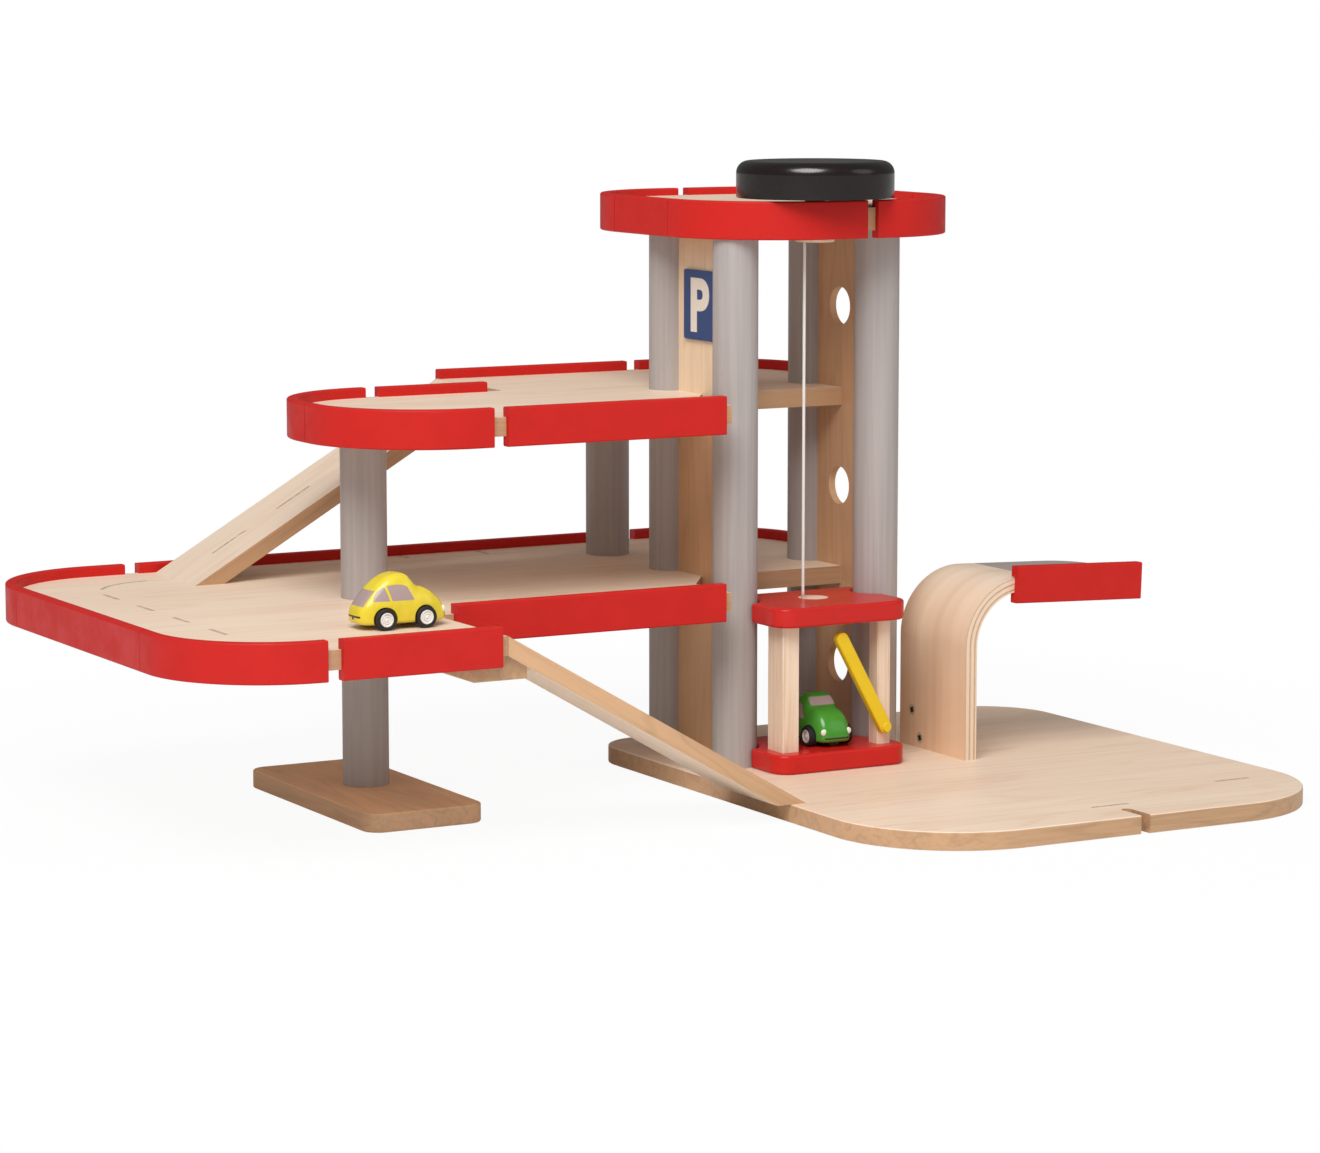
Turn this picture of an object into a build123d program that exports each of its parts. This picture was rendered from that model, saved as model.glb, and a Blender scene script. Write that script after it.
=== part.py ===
"""Toy parking garage: three boarded levels round a four-pillar lift tower.

Millimetres, +Z up. The origin is the middle of the footprint, on the floor.
Plan places are measured from the axis of the front left tower pillar: +X runs
to the right along the front of the tower, +Y runs to the back.
"""

import os
from math import atan2, cos, radians, sin, tan

from build123d import *

os.makedirs("parts", exist_ok=True)

# ---------------------------------------------------------------- tower
pillar_d = 30.0        # round pillars and supports
tower_width = 109.0    # pillar axis to pillar axis, left to right
tower_depth = 86.0     # pillar axis to pillar axis, front to back
storey = 110.0         # clear height from one board to the next
panel_t = 5.0          # plywood side panels of the tower
panel_groove = 3.0     # depth of the grooves that hold the panels in the pillars
window_d = 26.0        # round windows in the right panel

# ---------------------------------------------------------------- boards
board_t = 12.0         # base and parking decks
top_board_t = 15.0     # top deck, thicker because it carries the winch
corner_r = 80.0        # corner radius, measured on the outside of the rims
front_reach = 43.0     # rim face in front of the front pillar axes
lower_rear = 243.0     # rim face behind the front pillar axes, lower deck
upper_rear = 236.0     # the same on the upper deck
right_reach = 150.0    # rim face right of the left pillars, both parking decks
shaft_back = 40.0      # front edge of the decks inside the lift shaft
lower_left = 442.0     # lower deck, rim face left of the left pillars
lower_bay = 100.0      # how far the lower deck's left bay reaches in front of the rest
lower_bay_end = 239.0  # right edge of that bay, where the lower ramp starts
upper_left = 290.0     # upper deck, rim face left of the left pillars
upper_back = 133.0     # upper deck's left part, rim face at the back
upper_step = 106.0     # left edge of its deep part, where the upper ramp starts
deck_stop = 25.0       # front right corner of the decks, left of the front left pillar
deck_relief = 8.0      # where the slanting cut round that pillar begins
hidden_corner_r = 25.0 # front right corner of the decks, behind the tower
top_left = 30.0
top_right = 171.5
top_rear = 191.0
edge_ease = 1.2        # softened edges of the boards

# ---------------------------------------------------------------- rims
rim_h = 25.0
rim_t = 8.0
groove_depth = 4.0     # the boards sit this deep in the back of the rims
rim_ease = 1.2
rim_gap = 10.0         # usual space between two rims
joint_lead = 5.0       # straight length between a corner's bend and a butt joint
butt_gap = 0.6         # fine gap where two rims meet end to end
lower_left_lead = 11.0 # the same at the lower deck's front left bend
ramp_gap = 13.0        # from a ramp's side to the next rim
lower_near_lead = 12.5 # from the lower bay's left bend to its front rim
lower_rear_lead = 26.0 # from the lower deck's left bend to its rear rim
rear_joint_x = 43.5    # right end of the rear rims of both parking decks
front_stop_gap = 6.0   # from the front rims' right end to the decks' front right corner
upper_joint_x = 198.5  # space between the upper deck's left rims, left of the left pillars
top_front_joint = 75.0 # right end of the top deck's front left rim
top_front_gap = 8.0
top_rear_joint = 60.0  # left of the space between the top deck's rear rims
top_rear_gap = 8.0

# ---------------------------------------------------------------- base and foot
base_left = 39.0
base_right = 302.0
base_front = 276.0
base_rear = 128.0
base_front_r = 85.0
base_rear_left_r = 32.0
base_rear_right_r = 55.0
slot_x = 136.5         # road link slot in the front edge
slot_width = 7.0
slot_depth = 24.0
foot_size = (82.0, 190.0)
foot_centre = (-246.0, 52.5)
foot_r = 12.0
front_support = (-242.5, 57.5)
rear_support_place = (-1.0, 175.0)

# ---------------------------------------------------------------- ramps
ramp_width = 70.0
ramp_t = 10.4
ramp_landing = 11.0    # how far the lower ramp's tip reaches past the base board's left edge
ramp_joint = 0.3       # gap between a ramp's top end and the deck edge
upper_ramp_near = 160.0
block_drop = 15.5      # height of the blocks under the ramps' top ends
block_under = 61.0     # how far a block reaches under the deck
block_taper = 40.0
block_ledge = 15.0     # how far it reaches out under the ramp
block_width = ramp_width - groove_depth

# ---------------------------------------------------------------- canopy
canopy_x = 142.5       # left face of the upright
canopy_t = 9.0
canopy_front = 61.0    # front edge, in front of the front pillar axes
canopy_depth = 81.0
canopy_height = 132.5  # top of the roof where the bend ends
canopy_bend_r = 45.0   # outside radius
canopy_fall = 2.0      # degrees that the roof slopes down to the right
canopy_reach = 95.0    # roof length beyond the bend
canopy_corner_r = 25.0
canopy_rail_lead = 8.0 # the rail starts this far before the bend ends
canopy_rail_stop = 2.0 # and ends this far before the roof does
rail_play = 0.5        # play of the roof in the rail's groove
cleat_size = (12.0, 30.0, 36.0)
screw_d = 4.0
screw_head_d = 8.0
screw_length = 18.0
screw_places = ((-5.0, 7.0), (5.0, 25.0))  # along Y from the pillar axis, up from the base

# ---------------------------------------------------------------- sign
sign_size = 48.0
sign_t = 2.0
sign_r = 2.0

# ---------------------------------------------------------------- lift
lift_play = 1.5        # between the lift and the side panels
lift_front = 52.0      # front edge, in front of the front pillar axes
lift_depth = 76.0
lift_height = 110.0
lift_board_t = 13.0
lift_corner_r = 13.0
lift_ease = 2.0
pillar_play = 1.2      # between the lift's notches and the front pillars
post_width = 12.5
post_depth = 20.0
post_inset = 9.0       # from the lift's sides
post_setback = 11.0    # from its front edge
lift_seat = 0.0        # the lift stands on the base board

# ---------------------------------------------------------------- winch and cord
winch_y = -10.0        # winch axis, from the front pillar axes
winding_r = 8.0        # the cord's centre line round the drum
cord_d = 2.0
drum_core_d = 2 * winding_r - cord_d
drum_flange_d = 24.0
drum_h = 9.0
drum_flange_t = 2.0
knob_d = 104.0
knob_h = 24.0
knob_lift = 1.2        # gap between the knob and the top deck's rim
knob_top_r = 11.0
knob_foot_r = 8.0
knob_recess_d = 34.0
axle_d = 5.0
axle_play = 0.08
axle_head_d = 8.0
axle_head_t = 2.5
head_play = 0.5
axle_grip = 12.0       # how far the axle reaches into the knob above the drum
guide_d = 26.0
guide_t = 8.0
cord_hole_d = 3.2
anchor_d = 20.0
anchor_t = 4.0
knot_d = 5.0
knot_play = 0.3

# ---------------------------------------------------------------- barrier
arm_length = 70.0      # pivot to the centre of the far end
arm_width = 9.0
arm_t = 5.0
arm_gap = 0.5          # between the arm and the post
arm_angle = 61.0       # raised, degrees above level
pivot_up = 12.0        # pivot above the lift's floor
pin_d = 3.0
pin_head_d = 6.5
pin_head_t = 1.4
pin_play = 0.08

# ---------------------------------------------------------------- cars
car_length = 56.0
car_width = 30.0
car_height = 34.0
car_clearance = 3.0    # below the body
car_ease = 3.0         # rounding of its sides
car_sill = 11.0        # height of the tail's furthest point
car_bonnet = 25.0      # bonnet height at the windscreen
wheelbase = 27.0
wheel_d = 13.4
wheel_width = 6.5
wheel_track = 33.0     # over the outside of the wheels
car_axle_d = 2.4
car_axle_play = 0.08
arch_play = 1.0
yellow_car_place = (-280.0, -68.5)
green_car_place = (56.0, -12.0)

# ---------------------------------------------------------------- worked out heights
base_top = board_t
lower_deck_z = base_top + storey
lower_deck_top = lower_deck_z + board_t
upper_deck_z = lower_deck_top + storey
upper_deck_top = upper_deck_z + board_t
top_deck_z = upper_deck_top + storey
top_deck_top = top_deck_z + top_board_t

# ---------------------------------------------------------------- worked out plan
pillar_r = pillar_d / 2
rim_out = rim_t - groove_depth                 # rim face to board edge
bay_front = front_reach + lower_bay            # front rim face of the lower left bay
footprint_x = (base_right - lower_left) / 2
footprint_y = (lower_rear - base_front) / 2
shaft_centre = tower_width / 2

lift_left = panel_t / 2 + lift_play
lift_right = tower_width - lift_left
lift_back = lift_depth - lift_front
post_left = lift_left + post_inset
post_right = lift_right - post_inset - post_width
post_front = post_setback - lift_front
lift_z = base_top + lift_seat
lift_floor_top = lift_z + lift_board_t
lift_roof_z = lift_z + lift_height - lift_board_t
lift_roof_top = lift_z + lift_height

winch_x = shaft_centre
cord_x = winch_x - winding_r
guide_z = top_deck_z - guide_t
knob_z = top_deck_z + (top_board_t + rim_h) / 2 + knob_lift
drum_z = top_deck_top + 0.5


def at(x, y, z=0.0):
    """A place given from the front left pillar's axis, in the part's own frame."""
    return (x - footprint_x, y - footprint_y, z)


def level(z):
    """The level plane at height z, with its origin on the front left pillar's axis."""
    return Plane(origin=at(0, 0, z))


def side_plane(y):
    """An upright plane across the front at depth y: x to the right, y up."""
    return Plane(origin=at(0, y), x_dir=(1, 0, 0), z_dir=(0, -1, 0))


def keep(piece, name):
    """Label a finished piece and write it."""
    piece.part.label = name
    export_step(piece.part, f"parts/{name}.step")


# ================================================================ base and supports
with BuildPart() as base_board:
    with BuildSketch(level(0)) as base_outline:
        with Locations(((base_right - base_left) / 2, (base_rear - base_front) / 2)):
            Rectangle(base_left + base_right, base_front + base_rear)
        fillet(base_outline.vertices().group_by(Axis.Y)[0], base_front_r)
        fillet(base_outline.vertices().group_by(Axis.Y)[-1].sort_by(Axis.X)[-1], base_rear_right_r)
        fillet(base_outline.vertices().group_by(Axis.Y)[-1].sort_by(Axis.X)[0], base_rear_left_r)
        with Locations((slot_x, -base_front)):
            SlotCenterPoint((0, 0), (0, slot_depth - slot_width / 2), slot_width,
                            mode=Mode.SUBTRACT)
    extrude(amount=board_t)
    rims_of_board = base_board.edges().filter_by(Plane.XY)
    fillet(rims_of_board.filter_by(lambda e: e.length > 2 * slot_depth), edge_ease)
keep(base_board, "base_board")

with BuildPart() as foot_plate:
    with BuildSketch(level(0)):
        with Locations(foot_centre):
            RectangleRounded(*foot_size, foot_r)
    extrude(amount=board_t)
    fillet(foot_plate.edges().filter_by(Plane.XY), edge_ease)
keep(foot_plate, "foot_plate")


def support(place, z_low, z_high):
    """A plain round support between two boards."""
    with BuildPart() as post:
        with BuildSketch(level(z_low)):
            with Locations(place):
                Circle(pillar_r)
        extrude(amount=z_high - z_low)
    return post


keep(support(front_support, base_top, lower_deck_z), "front_support_lower")
keep(support(front_support, lower_deck_top, upper_deck_z), "front_support_upper")
keep(support(rear_support_place, lower_deck_top, upper_deck_z), "rear_support")


# ================================================================ tower
def pillar(x, y, groove_side):
    """A tower pillar from the base to the top deck, grooved for the panel edge."""
    with BuildPart() as post:
        with BuildSketch(level(base_top)):
            with Locations((x, y)):
                Circle(pillar_r)
            with Locations((x, y + groove_side * (pillar_r - panel_groove / 2))):
                Rectangle(panel_t, panel_groove, mode=Mode.SUBTRACT)
            with Locations((x, y + groove_side * pillar_r)):
                Rectangle(panel_t, panel_groove, mode=Mode.SUBTRACT)
        extrude(amount=top_deck_z - base_top)
    return post


keep(pillar(0, 0, 1), "pillar_front_left")
keep(pillar(tower_width, 0, 1), "pillar_front_right")
keep(pillar(0, tower_depth, -1), "pillar_rear_left")
keep(pillar(tower_width, tower_depth, -1), "pillar_rear_right")

panel_front = pillar_r - panel_groove
panel_back = tower_depth - pillar_r + panel_groove


def side_panel(x, windows):
    """A tower side panel: notched from behind for the decks, with round windows or none."""
    with BuildPart() as panel:
        with BuildSketch(Plane(origin=at(x, 0), x_dir=(0, 1, 0), z_dir=(1, 0, 0))):
            with Locations(((panel_front + panel_back) / 2, (base_top + top_deck_z) / 2)):
                Rectangle(panel_back - panel_front, top_deck_z - base_top)
            for z in (lower_deck_z, upper_deck_z):
                with Locations(((shaft_back + panel_back) / 2, z + board_t / 2)):
                    Rectangle(panel_back - shaft_back, board_t, mode=Mode.SUBTRACT)
            if windows:
                for z in (base_top, lower_deck_top, upper_deck_top):
                    with Locations((tower_depth / 2, z + storey / 2)):
                        Circle(window_d / 2, mode=Mode.SUBTRACT)
        extrude(amount=panel_t / 2, both=True)
    return panel


keep(side_panel(0, False), "left_panel")
keep(side_panel(tower_width, True), "right_panel")

# ================================================================ decks
left_edge = rim_out - lower_left
upper_left_edge = rim_out - upper_left
front_edge = rim_out - front_reach
bay_edge = rim_out - bay_front
lower_rear_edge = lower_rear - rim_out
upper_rear_edge = upper_rear - rim_out
right_edge = right_reach - rim_out
board_r = corner_r - rim_out


def deck_board(z, thickness, corners, radii):
    """A deck from its plan corners, each with its own radius."""
    with BuildPart() as deck:
        with BuildSketch(level(z)) as plan:
            with BuildLine():
                Polyline(*corners, close=True)
            make_face()
            for corner, radius in zip(corners, radii):
                if radius:
                    fillet(plan.vertices().sort_by_distance(Vector(*corner))[0], radius)
        extrude(amount=thickness)
    return deck


def pillar_holes(deck):
    """Bore a deck for the two rear pillars, which run through it."""
    with BuildPart() as bored:
        add(deck.part)
        with BuildSketch(level(0)):
            with Locations((0, tower_depth), (tower_width, tower_depth)):
                Circle(pillar_r)
        extrude(amount=top_deck_z, mode=Mode.SUBTRACT)
    return bored


lower_corners = [
    ((left_edge, bay_edge), board_r),
    ((-lower_bay_end, bay_edge), 0),
    ((-lower_bay_end, front_edge), 0),
    ((-deck_stop, front_edge), 0),
    ((-deck_stop, deck_relief), 0),
    ((-panel_t / 2, shaft_back), 0),
    ((right_edge, shaft_back), hidden_corner_r),
    ((right_edge, lower_rear_edge), board_r),
    ((left_edge, lower_rear_edge), board_r),
]
lower_deck = deck_board(lower_deck_z, board_t, *zip(*lower_corners))
keep(pillar_holes(lower_deck), "level_1_deck")

upper_corners = [
    ((upper_left_edge, front_edge), board_r),
    ((-deck_stop, front_edge), 0),
    ((-deck_stop, deck_relief), 0),
    ((-panel_t / 2, shaft_back), 0),
    ((right_edge, shaft_back), hidden_corner_r),
    ((right_edge, upper_rear_edge), board_r),
    ((-upper_step, upper_rear_edge), 0),
    ((-upper_step, upper_back - rim_out), 0),
    ((upper_left_edge, upper_back - rim_out), board_r),
]
upper_deck = deck_board(upper_deck_z, board_t, *zip(*upper_corners))
keep(pillar_holes(upper_deck), "level_2_deck")

top_left_edge = rim_out - top_left
top_right_edge = top_right - rim_out
top_rear_edge = top_rear - rim_out
top_corners = [
    ((top_left_edge, front_edge), board_r),
    ((top_right_edge, front_edge), board_r),
    ((top_right_edge, top_rear_edge), board_r),
    ((top_left_edge, top_rear_edge), board_r),
]
with BuildPart() as top_deck:
    add(deck_board(top_deck_z, top_board_t, *zip(*top_corners)).part)
    with BuildSketch(level(top_deck_z)):
        with Locations((winch_x, winch_y)):
            Circle(axle_d / 2 + axle_play)
        with Locations((cord_x, winch_y)):
            Circle(cord_hole_d / 2)
    extrude(amount=top_board_t, mode=Mode.SUBTRACT)
keep(top_deck, "top_deck")


# ================================================================ rims
def rim(z_low, thickness, *corners):
    """A grooved rim strip along a board edge: straight, or bent round one corner.

    The corners run with the board on their left.
    """
    z_mid = z_low + thickness / 2
    with BuildPart() as strip:
        with BuildLine(level(z_mid)) as path:
            if len(corners) == 2:
                Line(*corners)
            else:
                FilletPolyline(*corners, radius=board_r)
        edge = path.line
        along = edge % 0
        start = Plane(origin=edge @ 0, x_dir=along.cross(Vector(0, 0, 1)), z_dir=along)
        with BuildSketch(start) as section:
            with Locations(((rim_out - groove_depth) / 2, 0)):
                Rectangle(rim_t, rim_h)
            fillet(section.vertices(), rim_ease)
            with Locations((-groove_depth / 2, 0)):
                Rectangle(groove_depth, thickness, mode=Mode.SUBTRACT)
        sweep(path=edge)
    return strip


lower = (lower_deck_z, board_t)
upper = (upper_deck_z, board_t)
top = (top_deck_z, top_board_t)

# lower deck, anticlockwise from its left side
left_joint_front = bay_edge + board_r + lower_left_lead
left_joint_rear = lower_rear_edge - board_r - joint_lead
near_joint = left_edge + board_r + lower_near_lead
near_rail_end = -lower_bay_end - joint_lead
rear_joint_left = left_edge + board_r + lower_rear_lead
front_rail_start = -lower_bay_end + ramp_gap
front_rail_end = -deck_stop - front_stop_gap
keep(rim(*lower, (left_edge, left_joint_rear - butt_gap), (left_edge, left_joint_front + butt_gap)),
     "level_1_left_rail")
keep(rim(*lower, (left_edge, left_joint_front), (left_edge, bay_edge), (near_joint - rim_gap, bay_edge)),
     "level_1_front_corner")
keep(rim(*lower, (near_joint, bay_edge), (near_rail_end, bay_edge)), "level_1_near_rail")
keep(rim(*lower, (front_rail_start, front_edge), (front_rail_end, front_edge)),
     "level_1_front_rail")
keep(rim(*lower, (right_edge, shaft_back + hidden_corner_r), (right_edge, lower_rear_edge),
         (rear_joint_x + rim_gap, lower_rear_edge)), "level_1_right_corner")
keep(rim(*lower, (rear_joint_x, lower_rear_edge), (rear_joint_left + rim_gap, lower_rear_edge)),
     "level_1_rear_rail")
keep(rim(*lower, (rear_joint_left, lower_rear_edge), (left_edge, lower_rear_edge),
         (left_edge, left_joint_rear)), "level_1_rear_corner")

# upper deck
upper_back_edge = upper_back - rim_out
upper_joint = front_edge + board_r + joint_lead
keep(rim(*upper, (upper_left_edge, upper_joint), (upper_left_edge, front_edge),
         (-upper_joint_x, front_edge)), "level_2_front_corner")
keep(rim(*upper, (rim_gap - upper_joint_x, front_edge), (front_rail_end, front_edge)),
     "level_2_front_rail")
keep(rim(*upper, (right_edge, shaft_back + hidden_corner_r), (right_edge, upper_rear_edge),
         (rear_joint_x + rim_gap, upper_rear_edge)), "level_2_right_corner")
keep(rim(*upper, (rear_joint_x, upper_rear_edge), (joint_lead / 2 - upper_step, upper_rear_edge)),
     "level_2_rear_rail")
keep(rim(*upper, (-upper_step - ramp_gap, upper_back_edge), (-upper_joint_x, upper_back_edge)),
     "level_2_middle_rail")
keep(rim(*upper, (-upper_joint_x - rim_gap, upper_back_edge), (upper_left_edge, upper_back_edge),
         (upper_left_edge, upper_joint + butt_gap)), "level_2_rear_corner")

# top deck
top_left_joint_front = front_edge + board_r
top_left_joint_rear = top_rear_edge - board_r
top_right_joint = front_edge + board_r + joint_lead
keep(rim(*top, (top_left_edge, top_left_joint_rear - butt_gap),
         (top_left_edge, top_left_joint_front + butt_gap)), "top_left_rail")
with BuildPart() as front_left_rim:
    add(rim(*top, (top_left_edge, top_left_joint_front), (top_left_edge, front_edge),
            (top_front_joint, front_edge)).part)
    with BuildSketch(level(top_deck_z - rim_h)):
        Circle(pillar_r)
    extrude(amount=rim_h, mode=Mode.SUBTRACT)
keep(front_left_rim, "top_front_left_corner")
keep(rim(*top, (top_front_joint + top_front_gap, front_edge), (top_right_edge, front_edge),
         (top_right_edge, top_right_joint)), "top_front_right_corner")
keep(rim(*top, (top_right_edge, top_right_joint + butt_gap), (top_right_edge, top_rear_edge),
         (top_rear_joint + top_rear_gap, top_rear_edge)), "top_rear_right_corner")
keep(rim(*top, (top_rear_joint, top_rear_edge), (top_left_edge, top_rear_edge),
         (top_left_edge, top_left_joint_rear)), "top_rear_left_corner")

# ================================================================ ramps
ramp_run = lower_bay_end - base_left + ramp_landing
ramp_rise = lower_deck_top - base_top
ramp_slope = atan2(ramp_rise, ramp_run)
ramp_depth = ramp_t / cos(ramp_slope)          # thickness measured straight down
ramp_foot = ramp_t / sin(ramp_slope)           # length of the flat that stands on the board


def ramp(top_x, z_top, side, near_y):
    """A sloping board: cut level where it stands and upright where it meets the deck."""
    x_high = top_x + side * ramp_joint
    x_low = top_x + side * ramp_run
    z_low = z_top - ramp_rise
    with BuildPart() as slope:
        with BuildSketch(side_plane(near_y)):
            with BuildLine():
                Polyline((x_high, z_top), (x_low, z_low), (x_low - side * ramp_foot, z_low),
                         (x_high, z_top - ramp_depth), close=True)
            make_face()
        extrude(amount=-ramp_width)
    return slope


def ramp_block(top_x, z_top, side, near_y):
    """The block under a deck edge that carries a ramp's top end on its slanting face."""
    z_deck = z_top - board_t
    z_foot = z_deck - block_drop
    fall = block_ledge * tan(ramp_slope)
    with BuildPart() as block:
        with BuildSketch(side_plane(near_y)):
            with BuildLine():
                Polyline((top_x - side * block_under, z_deck),
                         (top_x - side * (block_under - block_taper), z_foot),
                         (top_x + side * block_ledge, z_foot),
                         (top_x + side * block_ledge, z_top - ramp_depth - fall),
                         (top_x, z_top - ramp_depth), (top_x, z_deck), close=True)
            make_face()
        extrude(amount=-block_width)
    return block


keep(ramp(-lower_bay_end, lower_deck_top, 1, bay_edge), "lower_ramp")
keep(ramp_block(-lower_bay_end, lower_deck_top, 1, bay_edge + groove_depth), "lower_ramp_block")
keep(ramp(-upper_step, upper_deck_top, -1, upper_ramp_near), "upper_ramp")
keep(ramp_block(-upper_step, upper_deck_top, -1, upper_ramp_near), "upper_ramp_block")

# ================================================================ canopy
bend_mid_r = canopy_bend_r - canopy_t / 2
upright_x = canopy_x + canopy_t / 2
upright_top = canopy_height - canopy_bend_r
canopy_mid_y = canopy_depth / 2 - canopy_front
fall_sin = sin(radians(canopy_fall))
fall_cos = cos(radians(canopy_fall))
bend_half = radians(90 + canopy_fall) / 2
roof_start = upright_x + bend_mid_r * (1 + fall_sin)
roof_start_z = upright_top + bend_mid_r * fall_cos
bend_middle = (upright_x + bend_mid_r * (1 - cos(bend_half)), upright_top + bend_mid_r * sin(bend_half))
roof_end = (roof_start + canopy_reach * fall_cos, roof_start_z - canopy_reach * fall_sin)

with BuildPart() as canopy_arch:
    with BuildLine(side_plane(canopy_mid_y)) as canopy_path:
        Line((upright_x, base_top), (upright_x, upright_top))
        ThreePointArc((upright_x, upright_top), bend_middle, (roof_start, roof_start_z))
        Line((roof_start, roof_start_z), roof_end)
    with BuildSketch(Plane(origin=at(upright_x, canopy_mid_y, base_top))):
        Rectangle(canopy_t, canopy_depth)
    sweep(path=canopy_path.line)
    outer_corners = canopy_arch.edges().filter_by(
        lambda e: abs(e.length - canopy_t) < 0.01).sort_by(Axis.X)[-2:]
    fillet(outer_corners.sort_by(Axis.Y)[-1], canopy_corner_r)
    with BuildSketch(Plane(origin=at(canopy_x, 0, base_top), x_dir=(0, -1, 0), z_dir=(-1, 0, 0))):
        with Locations(*[(-y, z) for y, z in screw_places]):
            Circle(screw_d / 2)
    extrude(amount=-canopy_t, mode=Mode.SUBTRACT)
    with BuildSketch(Plane(origin=at(canopy_x, 0, base_top), x_dir=(0, -1, 0), z_dir=(-1, 0, 0))):
        with Locations(*[(-y, z) for y, z in screw_places]):
            Circle(screw_head_d / 2)
    extrude(amount=-(screw_head_d - screw_d) / 2, taper=45, mode=Mode.SUBTRACT)
keep(canopy_arch, "canopy_arch")

rail_start = roof_start - canopy_rail_lead * fall_cos
rail_start_z = roof_start_z + canopy_rail_lead * fall_sin
rail_length = canopy_reach + canopy_rail_lead - canopy_rail_stop

with BuildPart() as canopy_rail:
    rail_plane = Plane(origin=at(rail_start, -canopy_front, rail_start_z), x_dir=(0, -1, 0),
                       z_dir=(fall_cos, 0, -fall_sin))
    with BuildSketch(rail_plane) as rail_section:
        with Locations(((rim_out - groove_depth) / 2, 0)):
            Rectangle(rim_t, rim_h)
        fillet(rail_section.vertices(), rim_ease)
        with Locations((-groove_depth / 2, 0)):
            Rectangle(groove_depth, canopy_t + 2 * rail_play, mode=Mode.SUBTRACT)
    extrude(amount=rail_length)
    add(canopy_arch.part, mode=Mode.SUBTRACT)
keep(canopy_rail, "canopy_rail")

cleat_x = canopy_x + canopy_t
with BuildPart() as canopy_cleat:
    with BuildSketch(level(base_top)):
        with Locations((cleat_x + cleat_size[0] / 2, 0)):
            Rectangle(cleat_size[0], cleat_size[1])
    extrude(amount=cleat_size[2])
    with BuildSketch(Plane(origin=at(cleat_x, 0, base_top), x_dir=(0, 1, 0), z_dir=(1, 0, 0))):
        with Locations(*screw_places):
            Circle(screw_d / 2)
    extrude(amount=screw_length - canopy_t, mode=Mode.SUBTRACT)
keep(canopy_cleat, "canopy_cleat")

with BuildPart() as canopy_screws:
    for screw_y, screw_z in screw_places:
        screw_plane = Plane(origin=at(canopy_x, screw_y, base_top + screw_z), x_dir=(0, 1, 0),
                            z_dir=(1, 0, 0))
        with BuildSketch(screw_plane):
            Circle(screw_head_d / 2)
        extrude(amount=(screw_head_d - screw_d) / 2, taper=45)
        with BuildSketch(screw_plane):
            Circle(screw_d / 2)
        extrude(amount=screw_length)
keep(canopy_screws, "canopy_screws")

# ================================================================ sign
with BuildPart() as parking_sign:
    sign_plane = Plane(origin=at(-panel_t / 2, tower_depth / 2, upper_deck_top + storey / 2),
                       x_dir=(0, -1, 0), z_dir=(-1, 0, 0))
    with BuildSketch(sign_plane):
        RectangleRounded(sign_size, sign_size, sign_r)
    extrude(amount=sign_t)
keep(parking_sign, "parking_sign")


# ================================================================ lift
def lift_board(z):
    """The lift's floor or roof: rounded in front, notched round the two front pillars."""
    with BuildPart() as board:
        with BuildSketch(level(z)) as plan:
            with Locations((shaft_centre, (lift_back - lift_front) / 2)):
                Rectangle(lift_right - lift_left, lift_depth)
            fillet(plan.vertices().group_by(Axis.Y)[0], lift_corner_r)
            fillet(plan.vertices().group_by(Axis.Y)[-1], lift_ease)
            with Locations((0, 0), (tower_width, 0)):
                Circle(pillar_r + pillar_play, mode=Mode.SUBTRACT)
        extrude(amount=lift_board_t)
        fillet(board.edges().filter_by(Plane.XY), lift_ease)
    return board


keep(lift_board(lift_z), "lift_floor")

with BuildPart() as lift_roof:
    add(lift_board(lift_roof_z).part)
    with BuildSketch(level(lift_roof_top - anchor_t)):
        with Locations((winch_x, winch_y)):
            Circle(anchor_d / 2)
    extrude(amount=anchor_t, mode=Mode.SUBTRACT)
    with BuildSketch(level(lift_roof_top - anchor_t - knot_d)):
        with Locations((cord_x, winch_y)):
            Circle(knot_d / 2 + knot_play)
    extrude(amount=knot_d, mode=Mode.SUBTRACT)
keep(lift_roof, "lift_roof")

for side, post_x in (("left", post_left), ("right", post_right)):
    with BuildPart() as lift_post:
        with BuildSketch(level(lift_floor_top)) as post_section:
            with Locations((post_x + post_width / 2, post_front + post_depth / 2)):
                Rectangle(post_width, post_depth)
            fillet(post_section.vertices(), 1.0)
        extrude(amount=lift_roof_z - lift_floor_top)
        if side == "right":
            with BuildSketch(side_plane(post_front)):
                with Locations((post_x + post_width / 2, lift_floor_top + pivot_up)):
                    Circle(pin_d / 2)
            extrude(amount=-post_depth / 2, mode=Mode.SUBTRACT)
    keep(lift_post, f"lift_post_{side}")

# ================================================================ winch
with BuildPart() as winch_knob:
    with BuildSketch(Plane(origin=at(winch_x, winch_y), x_dir=(1, 0, 0), z_dir=(0, -1, 0))) as knob_half:
        with Locations((knob_d / 4, knob_z + knob_h / 2)):
            Rectangle(knob_d / 2, knob_h)
        outer = knob_half.vertices().group_by(Axis.X)[-1].sort_by(Axis.Z)
        fillet(outer[0], knob_foot_r)
        fillet(outer[-1], knob_top_r)
        with Locations((knob_recess_d / 4, knob_z + (drum_z + drum_h - knob_z) / 2)):
            Rectangle(knob_recess_d / 2, drum_z + drum_h - knob_z, mode=Mode.SUBTRACT)
        with Locations((axle_d / 4, drum_z + drum_h + axle_grip / 2)):
            Rectangle(axle_d / 2, axle_grip, mode=Mode.SUBTRACT)
    revolve(axis=Axis(at(winch_x, winch_y), (0, 0, 1)))
keep(winch_knob, "winch_knob")

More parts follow.
